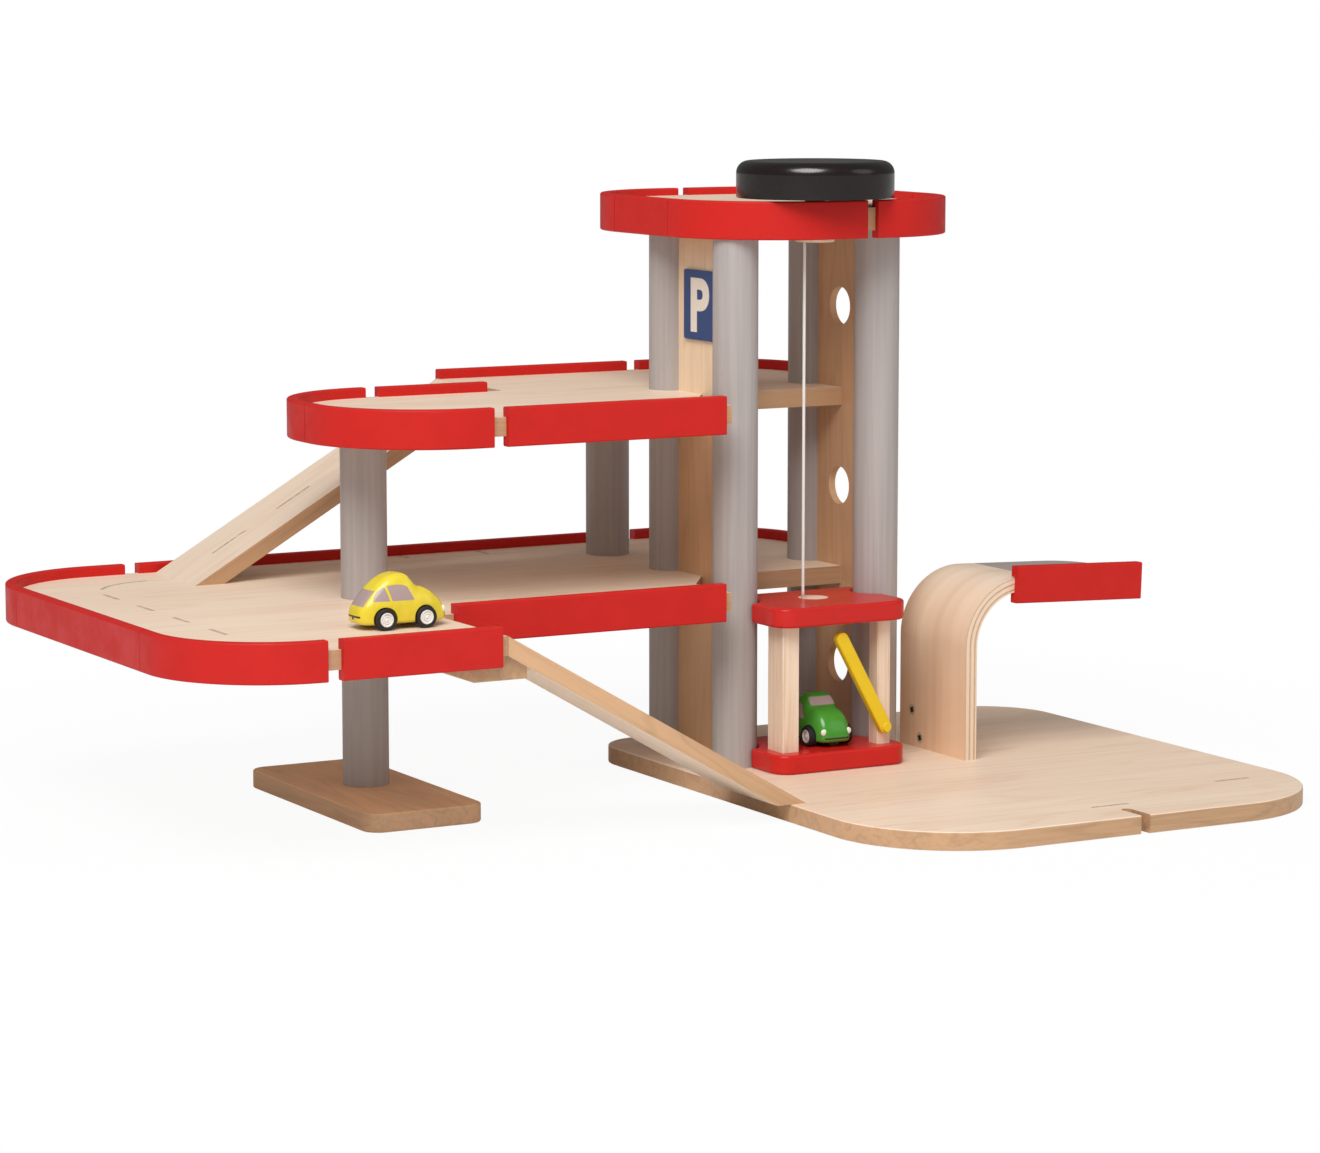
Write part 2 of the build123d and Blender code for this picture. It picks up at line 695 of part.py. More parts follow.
with BuildPart() as winch_drum:
    with BuildSketch(Plane(origin=at(winch_x, winch_y), x_dir=(1, 0, 0), z_dir=(0, -1, 0))):
        with Locations((drum_flange_d / 4, drum_z + drum_h / 2)):
            Rectangle(drum_flange_d / 2, drum_h)
        with Locations(((drum_core_d + drum_flange_d) / 4, drum_z + drum_h / 2)):
            Rectangle((drum_flange_d - drum_core_d) / 2, drum_h - 2 * drum_flange_t, mode=Mode.SUBTRACT)
        with Locations((axle_d / 4, drum_z + drum_h / 2)):
            Rectangle(axle_d / 2, drum_h, mode=Mode.SUBTRACT)
    revolve(axis=Axis(at(winch_x, winch_y), (0, 0, 1)))
keep(winch_drum, "winch_drum")

axle_head_z = guide_z + head_play
with BuildPart() as winch_axle:
    with BuildSketch(level(axle_head_z)):
        with Locations((winch_x, winch_y)):
            Circle(axle_head_d / 2)
    extrude(amount=axle_head_t)
    with BuildSketch(level(axle_head_z)):
        with Locations((winch_x, winch_y)):
            Circle(axle_d / 2)
    extrude(amount=drum_z + drum_h + axle_grip - axle_head_z)
keep(winch_axle, "winch_axle")

with BuildPart() as cord_guide:
    with BuildSketch(level(guide_z)):
        with Locations((winch_x, winch_y)):
            Circle(guide_d / 2)
            Circle(axle_d / 2 + axle_play, mode=Mode.SUBTRACT)
        with Locations((cord_x, winch_y)):
            Circle(cord_hole_d / 2, mode=Mode.SUBTRACT)
    extrude(amount=guide_t)
    with BuildSketch(level(guide_z)):
        with Locations((winch_x, winch_y)):
            Circle(axle_head_d / 2 + head_play)
    extrude(amount=axle_head_t + head_play, mode=Mode.SUBTRACT)
    fillet(cord_guide.edges().filter_by(GeomType.CIRCLE).sort_by(SortBy.RADIUS)[-2:].sort_by(Axis.Z)[0], 1.0)
keep(cord_guide, "cord_guide")

with BuildPart() as lift_cord:
    with BuildSketch(level(lift_roof_top)):
        with Locations((cord_x, winch_y)):
            Circle(cord_d / 2)
    extrude(amount=guide_z - lift_roof_top)
keep(lift_cord, "lift_cord")

with BuildPart() as cord_anchor:
    with BuildSketch(level(lift_roof_top - anchor_t)):
        with Locations((winch_x, winch_y)):
            Circle(anchor_d / 2)
        with Locations((cord_x, winch_y)):
            Circle(cord_d / 2, mode=Mode.SUBTRACT)
    extrude(amount=anchor_t)
keep(cord_anchor, "cord_anchor")

with BuildPart() as cord_knot:
    with Locations(at(cord_x, winch_y, lift_roof_top - anchor_t - knot_d / 2)):
        Sphere(knot_d / 2)
    with BuildSketch(level(lift_roof_top - anchor_t - knot_d / 2)):
        with Locations((cord_x, winch_y)):
            Circle(cord_d / 2)
    extrude(amount=anchor_t + knot_d / 2)
keep(cord_knot, "cord_knot")

# ================================================================ barrier
pivot_x = post_right + post_width / 2
pivot_z = lift_floor_top + pivot_up
arm_back = post_front - arm_gap
with BuildPart() as barrier_arm:
    with BuildSketch(Plane(origin=at(pivot_x, arm_back, pivot_z), x_dir=(1, 0, 0), z_dir=(0, -1, 0))):
        arm_tip = (-arm_length * cos(radians(arm_angle)), arm_length * sin(radians(arm_angle)))
        with Locations((arm_tip[0] / 2, arm_tip[1] / 2)):
            SlotCenterToCenter(arm_length, arm_width, rotation=180 - arm_angle)
        Circle(pin_d / 2 + pin_play, mode=Mode.SUBTRACT)
    extrude(amount=arm_t)
    fillet(barrier_arm.faces().sort_by(Axis.Y)[0].outer_wire().edges(), 1.2)
keep(barrier_arm, "barrier_arm")

arm_front = arm_back - arm_t
with BuildPart() as barrier_pin:
    pin_plane = side_plane(arm_front - pin_play)
    with BuildSketch(pin_plane):
        with Locations((pivot_x, pivot_z)):
            Circle(pin_head_d / 2)
    extrude(amount=pin_head_t)
    fillet(barrier_pin.faces().sort_by(Axis.Y)[0].edges(), 0.6)
    with BuildSketch(pin_plane):
        with Locations((pivot_x, pivot_z)):
            Circle(pin_d / 2)
    extrude(amount=-(arm_t + pin_play + arm_gap + post_depth / 2))
keep(barrier_pin, "barrier_pin")


# ================================================================ cars
def car_plane(place, ground_z, heading):
    """A car's own upright plane through its middle: x from tail to nose, y up from the ground."""
    way = Vector(cos(radians(heading)), sin(radians(heading)), 0)
    return Plane(origin=at(*place, ground_z), x_dir=way, z_dir=way.cross(Vector(0, 0, 1)))


def car_body(plane):
    """A rounded saloon: sloping back, domed roof and bonnet, with arches over the wheels."""
    tail = -car_length / 2
    nose = car_length / 2
    corners = [
        ((tail + 1, car_clearance), 4.0),
        ((tail, car_sill), 5.0),
        ((tail + 8, car_height - 8), 10.0),
        ((tail + 19, car_height), 14.0),
        ((nose - 25.5, car_height - 0.5), 7.0),
        ((nose - 17.5, car_bonnet), 4.0),
        ((nose - 6, car_bonnet - 4), 8.0),
        ((nose, car_sill - 1), 5.0),
        ((nose - 1, car_clearance), 4.0),
    ]
    with BuildPart() as body:
        with BuildSketch(plane) as shape:
            with BuildLine():
                Polyline(*[corner for corner, radius in corners], close=True)
            make_face()
            for corner, radius in corners:
                fillet(shape.vertices().sort_by_distance(Vector(*corner))[0], radius)
        extrude(amount=car_width / 2, both=True)
        across = Axis(plane.origin, plane.z_dir)
        flanks = body.faces().filter_by(across).sort_by(across)
        fillet(flanks[0].edges() + flanks[-1].edges(), car_ease)
        arch_depth = wheel_width + arch_play - (wheel_track - car_width) / 2
        for side in (-1, 1):
            with BuildSketch(plane.offset(side * (car_width / 2 - arch_depth))):
                with Locations((-wheelbase / 2, wheel_d / 2), (wheelbase / 2, wheel_d / 2)):
                    Circle(wheel_d / 2 + arch_play)
            extrude(amount=side * arch_depth, mode=Mode.SUBTRACT)
        with BuildSketch(plane):
            with Locations((-wheelbase / 2, wheel_d / 2), (wheelbase / 2, wheel_d / 2)):
                Circle(car_axle_d / 2 + car_axle_play)
        extrude(amount=car_width / 2, both=True, mode=Mode.SUBTRACT)
    return body


def car_axle(plane, x):
    """Two wheels with raised hubs on their axle."""
    with BuildPart() as wheels:
        for side in (-1, 1):
            outside = plane.offset(side * wheel_track / 2)
            with BuildSketch(outside):
                with Locations((x, wheel_d / 2)):
                    Circle(wheel_d / 2)
            extrude(amount=-side * wheel_width)
        rounded = wheels.edges().filter_by(GeomType.CIRCLE)
        fillet(rounded, 1.2)
        with BuildSketch(plane):
            with Locations((x, wheel_d / 2)):
                Circle(car_axle_d / 2)
        extrude(amount=wheel_track / 2 - wheel_width + 1.0, both=True)
    return wheels


yellow_plane = car_plane(yellow_car_place, lower_deck_top, 0)
green_plane = car_plane(green_car_place, lift_floor_top, -90)
for colour, plane in (("yellow", yellow_plane), ("green", green_plane)):
    keep(car_body(plane), f"{colour}_car_body")
    keep(car_axle(plane, wheelbase / 2), f"{colour}_car_front_wheels")
    keep(car_axle(plane, -wheelbase / 2), f"{colour}_car_rear_wheels")
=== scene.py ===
"""Looks of the toy parking garage: finishes, cord, winch, sign, road marks, cars, screws and stage."""

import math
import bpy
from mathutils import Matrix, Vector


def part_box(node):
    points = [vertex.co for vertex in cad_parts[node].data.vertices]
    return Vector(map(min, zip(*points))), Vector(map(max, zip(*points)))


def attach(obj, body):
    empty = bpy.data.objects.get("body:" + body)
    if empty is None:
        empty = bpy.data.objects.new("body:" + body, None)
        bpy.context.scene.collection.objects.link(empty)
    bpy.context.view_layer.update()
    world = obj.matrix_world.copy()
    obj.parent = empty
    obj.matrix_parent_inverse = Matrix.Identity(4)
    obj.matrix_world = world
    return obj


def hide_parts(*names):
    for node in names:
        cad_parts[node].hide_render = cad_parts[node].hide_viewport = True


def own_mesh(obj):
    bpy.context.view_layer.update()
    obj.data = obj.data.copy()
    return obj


bl_info = {
    "name": "Toy parking garage",
    "version": (1, 0, 0),
    "blender": (4, 5, 0),
    "location": "3D View > Sidebar > Garage",
    "description": "Dresses the parking garage's frame with finishes, cord, cars, sign, marks and a stage",
    "category": "Object",
}

import bmesh
import bpy
from bpy.props import FloatProperty, FloatVectorProperty, IntProperty, PointerProperty
from mathutils import Matrix, Vector

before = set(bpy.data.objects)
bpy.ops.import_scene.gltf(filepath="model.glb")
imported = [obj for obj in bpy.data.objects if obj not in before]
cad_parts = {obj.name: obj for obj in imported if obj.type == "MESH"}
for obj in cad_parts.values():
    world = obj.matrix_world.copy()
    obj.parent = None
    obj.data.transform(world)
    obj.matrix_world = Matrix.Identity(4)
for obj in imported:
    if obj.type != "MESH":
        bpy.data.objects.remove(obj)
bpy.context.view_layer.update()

PILLAR_LOW, PILLAR_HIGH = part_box("pillar_front_left")
PILLAR_R = (PILLAR_HIGH.x - PILLAR_LOW.x) / 2

# Ways that the grain runs, as the turn from X
ACROSS = (0.0, 0.0, 0.0)
DEEP = (0.0, 0.0, math.radians(90))
UPRIGHT = (0.0, math.radians(90), 0.0)


def spot(x, y, z):
    """A point in the row frame from millimetres right of, behind and above the front left pillar's foot."""
    return Vector((PILLAR_LOW.x + PILLAR_R + x / 1000, PILLAR_LOW.y + PILLAR_R + y / 1000, z / 1000))


def middle(node):
    """The middle of a CAD node's box."""
    low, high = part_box(node)
    return (low + high) / 2


def slope_of(node):
    """The angle at which a ramp rises over its box."""
    low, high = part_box(node)
    return math.atan2(high.z - low.z, high.x - low.x)


# ---------------------------------------------------------------- sizes and colours
class GarageColours(bpy.types.PropertyGroup):
    """Colours of the garage's woods, lacquers and prints."""

    def colour(name, description, value):
        return FloatVectorProperty(name=name, description=description, default=value, size=3,
                                   subtype="COLOR", min=0.0, max=1.0)

    board: colour("Board", "Face of the decks, base and ramps", (0.85, 0.69, 0.54))
    board_line: colour("Board grain", "Darker grain lines of the boards", (0.70, 0.47, 0.31))
    # Sawn edges: darker as end grain, and darkened further as painted shade of the deck edges in the lift
    # shaft
    board_edge: colour("Board edge", "Sawn edges of the boards", (0.59, 0.355, 0.195))
    # The canopy upright's left-face colours are painted shade on that face
    arch: colour("Canopy upright", "Left face of the canopy's upright", (0.84, 0.58, 0.38))
    arch_line: colour("Canopy grain", "Grain lines of that face", (0.66, 0.38, 0.21))
    left_panel: colour("Left panel", "Outer side panel, seen in the light", (0.85, 0.64, 0.44))
    # The right panel is the same plywood as the left; its darker, more orange colour is painted shade of the
    # shaft
    panel: colour("Right panel", "Side panel, seen from the shaft", (0.66, 0.39, 0.21))
    # Lightened as painted light against the lower deck's shadow on the foot plate
    foot: colour("Foot", "Foot plate under the left support", (0.90, 0.56, 0.33))
    pillar: colour("Pillar", "Grey stain of the pillars and supports", (0.405, 0.365, 0.348))
    lacquer: colour("Rim lacquer", "Red lacquer of the rims and the lift", (0.565, 0.017, 0.013))
    knob: colour("Knob lacquer", "Black lacquer of the winch knob", (0.012, 0.008, 0.007))
    sign: colour("Sign", "Ground of the parking sign", (0.014, 0.048, 0.190))
    letter: colour("Letter", "Letter on the parking sign", (0.80, 0.72, 0.62))
    arm: colour("Barrier arm", "Yellow lacquer of the barrier arm", (0.80, 0.55, 0.02))
    road_mark: colour("Road marks", "Printed marks on the lower deck, base and ramp", (0.42, 0.32, 0.24))
    roof_paint: colour("Roof paint", "Grey field on the canopy's roof", (0.40, 0.34, 0.31))
    cord: colour("Cord", "Braided lift cord", (0.86, 0.83, 0.78))
    yellow_car: colour("Yellow car", "Body of the yellow car", (0.78, 0.62, 0.040))
    green_car: colour("Green car", "Body of the green car", (0.060, 0.30, 0.030))
    window: colour("Car windows", "Printed windows of the cars", (0.40, 0.30, 0.29))


class GarageSizes(bpy.types.PropertyGroup):
    """Sizes that the looks need beside the frame's own."""

    def length(name, description, default, least, most):
        return FloatProperty(name=name, description=description, default=default, min=least, max=most,
                             unit="LENGTH")

    cord_width: length("Cord width", "Diameter of the lift cord", 0.002, 0.001, 0.004)
    mark_width: length("Mark width", "Width of a printed road mark", 0.0025, 0.0005, 0.01)
    mark_depth: length("Mark depth", "How far the print stands proud of the board", 0.00012, 0.00005, 0.0005)
    hub_radius: length("Hub radius", "Radius of a car wheel's pale hub", 0.0045, 0.002, 0.006)
    screw_recess: length("Screw recess", "Width of the cross in a screw head", 0.0044, 0.002, 0.006)
    letter_height: length("Letter height", "Height of the letter on the sign", 0.036, 0.01, 0.045)
    sign_side: length("Sign side", "Side of the parking sign's square", 0.0463, 0.03, 0.06)
    post_width: length("Post width", "Width of the cage's right post", 0.0100, 0.006, 0.0125)
    post_depth: length("Post depth", "Depth of the cage's right post", 0.0112, 0.006, 0.02)
    car_voxel: length("Car fineness", "Cell size of the car bodies' skin", 0.0007, 0.0004, 0.002)
    cord_sides: IntProperty(name="Cord sides", description="Sides of the cord's tube",
                            default=16, min=8, max=32)


class GarageStage(bpy.types.PropertyGroup):
    """Camera, lamps and sky."""

    lens: FloatProperty(name="Lens", description="Focal length on a 36 mm wide sensor",
                        default=113.93, min=20.0, max=300.0, unit="CAMERA")
    turn: FloatProperty(name="Turn", description="How far the camera stands round to the left",
                        default=0.507461, subtype="ANGLE", unit="ROTATION")
    dip: FloatProperty(name="Dip", description="How far the camera looks down",
                       default=0.134265, subtype="ANGLE", unit="ROTATION")
    key: FloatProperty(name="Key lamp", description="Power of the lamp at the front left",
                       default=80.0, min=0.0, unit="POWER")
    fill: FloatProperty(name="Fill lamp", description="Power of the lamp at the right",
                        default=5.0, min=0.0, unit="POWER")
    sky: FloatProperty(name="Sky", description="Strength of the light from all round", default=0.50, min=0.0)


def colours():
    return bpy.context.scene.garage_colours


def sizes():
    return bpy.context.scene.garage_sizes


def shaded(colour, share):
    """A colour at a share of its brightness."""
    return [share * part for part in colour]


def set_all(item, **settings):
    """Sets several of an item's properties and returns it."""
    for key, value in settings.items():
        setattr(item, key, value)
    return item


# ---------------------------------------------------------------- node trees and finishes
class Tree:
    """A node tree in the making."""

    kinds = "ShaderNode"

    def __init__(self, tree):
        self.tree = tree

    def plug(self, socket, value):
        if isinstance(value, bpy.types.NodeSocket):
            self.tree.links.new(value, socket)
        else:
            socket.default_value = value

    def node(self, kind, settings=None, output=0, **sockets):
        """One output of a new node, or all for None; a socket named _3 is the node's fourth input."""
        kind = kind if kind.startswith("Shader") else self.kinds + kind
        node = set_all(self.tree.nodes.new(kind), **(settings or {}))
        for key, value in sockets.items():
            self.plug(node.inputs[int(key[1:]) if key[1:].isdigit() else key.replace("_", " ")], value)
        return node.outputs if output is None else node.outputs[output]

    def maths(self, operation, *values, clamp=False):
        return self.node("ShaderNodeMath", {"operation": operation, "use_clamp": clamp},
                         **{f"_{i}": value for i, value in enumerate(values)})

    def total(self, first, *others, clamp=False):
        for i, other in enumerate(others, 1):
            first = self.maths("ADD", first, other, clamp=clamp and i == len(others))
        return first

    def product(self, first, *others):
        for other in others:
            first = self.maths("MULTIPLY", first, other)
        return first

    def most(self, first, *others):
        for other in others:
            first = self.maths("MAXIMUM", first, other)
        return first

    def less(self, first, second):
        return self.maths("SUBTRACT", first, second)

    def squares(self, first, second):
        """The sum of two squares."""
        return self.total(self.product(first, first), self.product(second, second))

    def ramp(self, value, low, high, start=0.0, end=1.0):
        """value's way from low to high, smoothed, as start to end."""
        return self.node("MapRange", {"interpolation_type": "SMOOTHSTEP"}, _0=value, _1=low, _2=high,
                         _3=start, _4=end)

    def blend(self, share, first, second):
        return self.node("MixShader", _0=share, _1=first, _2=second)

    def white_light(self, kind, strength):
        return self.node(kind, Color=(1.0, 1.0, 1.0, 1.0), Strength=strength)


class Finish(Tree):
    """A finish in the making: its material, node tree and shader."""

    def __init__(self, name, roughness, **sockets):
        self.material = bpy.data.materials.new(name)
        self.material.use_nodes = True
        super().__init__(self.material.node_tree)
        self.shader = self.tree.nodes["Principled BSDF"]
        for socket, value in {"Roughness": roughness, **sockets}.items():
            self.shader.inputs[socket.replace("_", " ")].default_value = value
        self.place = self.node("TexCoord", output="Object")

    def noise(self, vector, scale=1.0, detail=2.0, roughness=0.5, distortion=0.0):
        return self.node("TexNoise", output="Fac", Vector=vector, Scale=scale, Detail=detail,
                         Roughness=roughness, Distortion=distortion)

    def grain(self, turn, stretch, place=None, **settings):
        """Noise turned so that X runs with the grain, and drawn out to the given lengths."""
        place = self.node("Mapping", {"vector_type": "TEXTURE"}, Vector=place or self.place,
                          Rotation=turn, Scale=stretch)
        return self.noise(place, **settings)

    def mix(self, share, first, second):
        return self.node("Mix", {"data_type": "RGBA"}, 2, _0=share, _6=colour4(first), _7=colour4(second))

    def split(self, vector):
        return self.node("SeparateXYZ", output=None, _0=vector)

    def normal(self):
        return self.split(self.node("NewGeometry", output="Normal"))

    def bump(self, height, distance, strength):
        normal = self.node("Bump", Strength=strength, Distance=distance, Height=height)
        self.plug(self.shader.inputs["Normal"], normal)

    def paint(self, colour):
        self.plug(self.shader.inputs["Base Color"], colour4(colour))
        return self.material


def colour4(value):
    """A colour with its alpha, or the socket that gives it."""
    if isinstance(value, bpy.types.NodeSocket):
        return value
    return (*value[:3], 1.0)


def speckled(name, roughness, scale, first, second, detail=3.0, span=None, bump=None, **sockets):
    """A finish that varies finely between two tones; scale is a number or the specks' lengths."""
    finish = Finish(name, roughness, **sockets)
    if isinstance(scale, tuple):
        speck = finish.grain(ACROSS, scale, detail=detail)
    else:
        speck = finish.noise(finish.place, scale=scale, detail=detail)
    if bump:
        finish.bump(speck, *bump)
    finish.paint(finish.mix(finish.ramp(speck, *span) if span else speck, first, second))
    return finish


# Lengths along the grain and both ways across it
STREAKS = (0.09, 0.0022, 0.0022)
FLECKS = (0.006, 0.00045, 0.00045)
FIGURE_LENGTH = 0.32


def wood_grain(finish, turn, face, line, figure=0.016, depth=0.5):
    """Colour of a clear-lacquered wood: broad figure, growth lines and fine flecks."""
    broad = finish.grain(turn, (FIGURE_LENGTH, figure * 2.2, figure * 2.2), detail=3.0, distortion=0.5)
    rings = finish.ramp(finish.maths("PINGPONG", finish.product(broad, 7.0), 0.5), 0.30, 0.50)
    streaks = finish.grain(turn, STREAKS, detail=4.0, roughness=0.65)
    flecks = finish.grain(turn, FLECKS)
    share = finish.total(finish.product(rings, 0.44 * depth),
                         finish.ramp(broad, 0.35, 0.75, 0.0, 0.5 * depth),
                         finish.ramp(streaks, 0.42, 0.78, 0.0, 0.65 * depth),
                         finish.ramp(flecks, 0.60, 0.80, 0.0, 0.20 * depth), clamp=True)
    finish.bump(finish.total(streaks, finish.product(flecks, 0.5)), 0.00012, 0.35)
    return finish.mix(share, face, line)


def board_finish(name, turn, face, line, edge):
    """A flat board: grained face, darker sawn edge whose darkness is partly painted shade."""
    finish = Finish(name, 0.46, Coat_Weight=0.06, Coat_Roughness=0.35, Specular_IOR_Level=0.3)
    top = wood_grain(finish, turn, face, line)
    up = finish.maths("ABSOLUTE", finish.normal()[2])
    side = wood_grain(finish, turn, edge, shaded(edge, 0.72), depth=0.8)
    return finish.paint(finish.mix(finish.ramp(up, 0.4, 0.7), side, top))


def stain_finish(name, colour):
    """Turned wood with a grey stain that lets the upright grain through."""
    finish = Finish(name, 0.50, Coat_Weight=0.05, Coat_Roughness=0.40, Specular_IOR_Level=0.3)
    streaks = finish.grain(UPRIGHT, (0.14, 0.0030, 0.0030), detail=4.0, roughness=0.55)
    clouds = finish.grain(UPRIGHT, (0.20, 0.02, 0.02))
    grain = finish.mix(finish.ramp(streaks, 0.36, 0.68), shaded(colour, 1.05), shaded(colour, 0.92))
    finish.bump(streaks, 0.00012, 0.4)
    return finish.paint(finish.mix(finish.product(clouds, 0.4), grain, colour))


def lacquer_finish(name, colour, roughness=0.42, coat=0.04, bump=0.00003, shine=0.14, patches=1.0):
    """A sprayed lacquer over wood, with a faint wave from the wood below and soft dull patches."""
    finish = Finish(name, roughness, Coat_Weight=coat, Coat_Roughness=0.18, Specular_IOR_Level=shine)
    wave = finish.noise(finish.place, scale=55.0, detail=3.0)
    grit = finish.noise(finish.place, scale=900.0)
    finish.bump(finish.total(wave, finish.product(grit, 0.15)), bump * 4, 0.5)
    glossy, dull = roughness * (1 - 0.15 * patches), roughness * (1 + 0.25 * patches)
    finish.plug(finish.shader.inputs["Roughness"], finish.ramp(wave, 0.3, 0.7, glossy, dull))
    return finish.paint(finish.mix(finish.ramp(wave, 0.30, 0.72, 0.0, 0.6), colour, shaded(colour, 0.92)))


def dress(material, *nodes):
    """Gives CAD nodes their finish."""
    for name in nodes:
        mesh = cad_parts[name].data
        mesh.materials.clear()
        mesh.materials.append(material)


# ---------------------------------------------------------------- making pieces
def new_object(name, data):
    """An object in the scene's collection."""
    item = bpy.data.objects.new(name, data)
    bpy.context.scene.collection.objects.link(item)
    return item


def add_piece(name, mesh, materials, body):
    """A finished piece at the origin, riding on its body."""
    piece = new_object(name, mesh)
    for material in materials:
        mesh.materials.append(material)
    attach(piece, body)
    return piece


def mesh_from(shape, name):
    """The mesh of a bmesh that is ready, which is freed."""
    mesh = bpy.data.meshes.new(name)
    shape.to_mesh(mesh)
    shape.free()
    return mesh


def settled_mesh(piece, name):
    """The plain mesh that a piece's modifiers make."""
    graph = bpy.context.evaluated_depsgraph_get()
    mesh = bpy.data.meshes.new_from_object(piece.evaluated_get(graph), preserve_all_data_layers=True,
                                           depsgraph=graph)
    mesh.name = name
    return mesh


def rounded_block(name, centre, size, axis, radius, segments):
    """A block whose edges along one axis are rounded."""
    shape = bmesh.new()
    bmesh.ops.create_cube(shape, size=1.0)
    bmesh.ops.scale(shape, vec=size, verts=shape.verts)
    bmesh.ops.translate(shape, vec=centre, verts=shape.verts)
    edges = [edge for edge in shape.edges
             if abs(edge.verts[0].co[axis] - edge.verts[1].co[axis]) > size[axis] / 2]
    bmesh.ops.bevel(shape, geom=edges, offset=radius, segments=segments, affect="EDGES")
    return mesh_from(shape, name)


def shade_smooth(mesh, angle):
    """Smooth shading with the edges sharper than an angle in degrees kept."""
    mesh.polygons.foreach_set("use_smooth", [True] * len(mesh.polygons))
    shape = bmesh.new()
    shape.from_mesh(mesh)
    for edge in shape.edges:
        edge.smooth = len(edge.link_faces) == 2 and edge.calc_face_angle(0.0) < math.radians(angle)
    shape.to_mesh(mesh)
    shape.free()


class Rule(Tree):
    """A Geometry Nodes rule in the making, with named inputs."""

    kinds = "GeometryNode"

    def __init__(self, name):
        super().__init__(bpy.data.node_groups.new(name, "GeometryNodeTree"))
        self.tree.interface.new_socket("Geometry", in_out="OUTPUT", socket_type="NodeSocketGeometry")
        self.inlet = self.tree.nodes.new("NodeGroupInput")
        self.outlet = self.tree.nodes.new("NodeGroupOutput")

    def inputs(self, kind, *names):
        """New inputs of one kind."""
        for name in names:
            self.tree.interface.new_socket(name, in_out="INPUT", socket_type="NodeSocket" + kind)
        return [self.inlet.outputs[name] for name in names]

    def line(self, first, last, count):
        """Points from first to last."""
        return self.node("MeshLine", {"mode": "END_POINTS", "count_mode": "TOTAL"},
                         Count=count, Start_Location=first, _3=last)

    def instances(self, points, item, turn):
        return self.node("InstanceOnPoints", Points=points, Instance=item, Rotation=turn)

    def join(self, *parts):
        node = self.tree.nodes.new("GeometryNodeJoinGeometry")
        for part in parts:
            self.tree.links.new(part, node.inputs[0])
        return node.outputs[0]

    def finish(self, geometry, material):
        """Realises geometry and sets its material."""
        real = self.node("RealizeInstances", Geometry=geometry)
        return self.node("SetMaterial", Geometry=real, Material=material)

    def make(self, name, geometry, values):
        """Runs the rule once and returns the mesh that it makes."""
        self.tree.links.new(geometry, self.outlet.inputs[0])
        holder = new_object(name, bpy.data.meshes.new(name))
        modifier = holder.modifiers.new(self.tree.name, "NODES")
        modifier.node_group = self.tree
        for item in self.tree.interface.items_tree:
            if item.in_out == "INPUT":
                modifier[item.identifier] = values[item.name]
        mesh = settled_mesh(holder, name)
        bpy.data.objects.remove(holder)
        return mesh


# ---------------------------------------------------------------- stage
class GARAGE_OT_stage(bpy.types.Operator):
    """Sets up the camera, floor, lamps and background"""

    bl_idname = "garage.set_stage"
    bl_label = "Set stage"

    CAMERA = (-1371.41, -2364.78, 507.50)  # in the terms of spot
    FLOOR_HALF = 12.0
    GLOW = (0.40, 0.85, 0.935, 1.0)  # two distances from the middle, and the floor's glow at each
    LAMPS = (("key", 2.0, (-1.30, -1.45, 2.45)), ("fill", 1.6, (1.9, -1.7, 1.5)))  # name, width, place
    AIM = (0.05, 0.0, 0.16)
    GLOSSY_DIM = 0.80  # share of the sky that reflections don't see

    def execute(self, context):
        stage = context.scene.garage_stage
        camera = new_object("camera", bpy.data.cameras.new("camera"))
        set_all(camera.data, lens=stage.lens, sensor_width=36.0, clip_end=50.0)
        camera.location = spot(*self.CAMERA)
        camera.rotation_euler = (math.radians(90) - stage.dip, 0.0, -stage.turn)
        context.scene.camera = camera

        self.lay_floor()
        for name, width, place in self.LAMPS:
            self.hang_lamp(name + "_lamp", getattr(stage, name), width, place)
        self.light_sky(context, stage.sky)
        context.scene.view_settings.view_transform = "Standard"
        return {"FINISHED"}

    def lay_floor(self):
        """A paper ground that glows towards the camera, a little less under the object."""
        shape = bmesh.new()
        bmesh.ops.create_grid(shape, x_segments=2, y_segments=2, size=self.FLOOR_HALF)
        floor = new_object("floor", mesh_from(shape, "floor"))
        paper = speckled("floor_paper", 0.9, 40.0, shaded((1, 1, 1), 0.80), shaded((1, 1, 1), 0.84))
        away = paper.maths("SQRT", paper.squares(*paper.split(paper.place)[:2]))
        share = paper.ramp(away, *self.GLOW)
        seen = paper.product(paper.node("LightPath", output="Is Camera Ray"), share)
        blend = paper.blend(seen, paper.shader.outputs[0], paper.white_light("Emission", 1.0))
        paper.plug(paper.tree.nodes["Material Output"].inputs[0], blend)
        floor.data.materials.append(paper.material)

    def hang_lamp(self, name, power, width, place):
        lamp = set_all(bpy.data.lights.new(name, "AREA"), energy=power, shape="DISK", size=width)
        holder = new_object(name, lamp)
        holder.location = place
        aim = Vector(self.AIM) - Vector(place)
        holder.rotation_euler = aim.to_track_quat("-Z", "Y").to_euler()

    def light_sky(self, context, strength):
        """White for the camera, softer as light, and dim in reflections."""
        world = bpy.data.worlds.new("studio")
        context.scene.world = world
        world.use_nodes = True
        world.node_tree.nodes.clear()
        sky = Tree(world.node_tree)
        ray = sky.node("LightPath", output=None)
        seen = sky.most(ray["Is Camera Ray"], ray["Is Transmission Ray"])
        dim = sky.maths("MULTIPLY_ADD", ray["Is Glossy Ray"], -self.GLOSSY_DIM * strength, strength)
        blend = sky.blend(seen, sky.white_light("Background", dim), sky.white_light("Background", 1.0))
        sky.node("OutputWorld", output=None, Surface=blend)


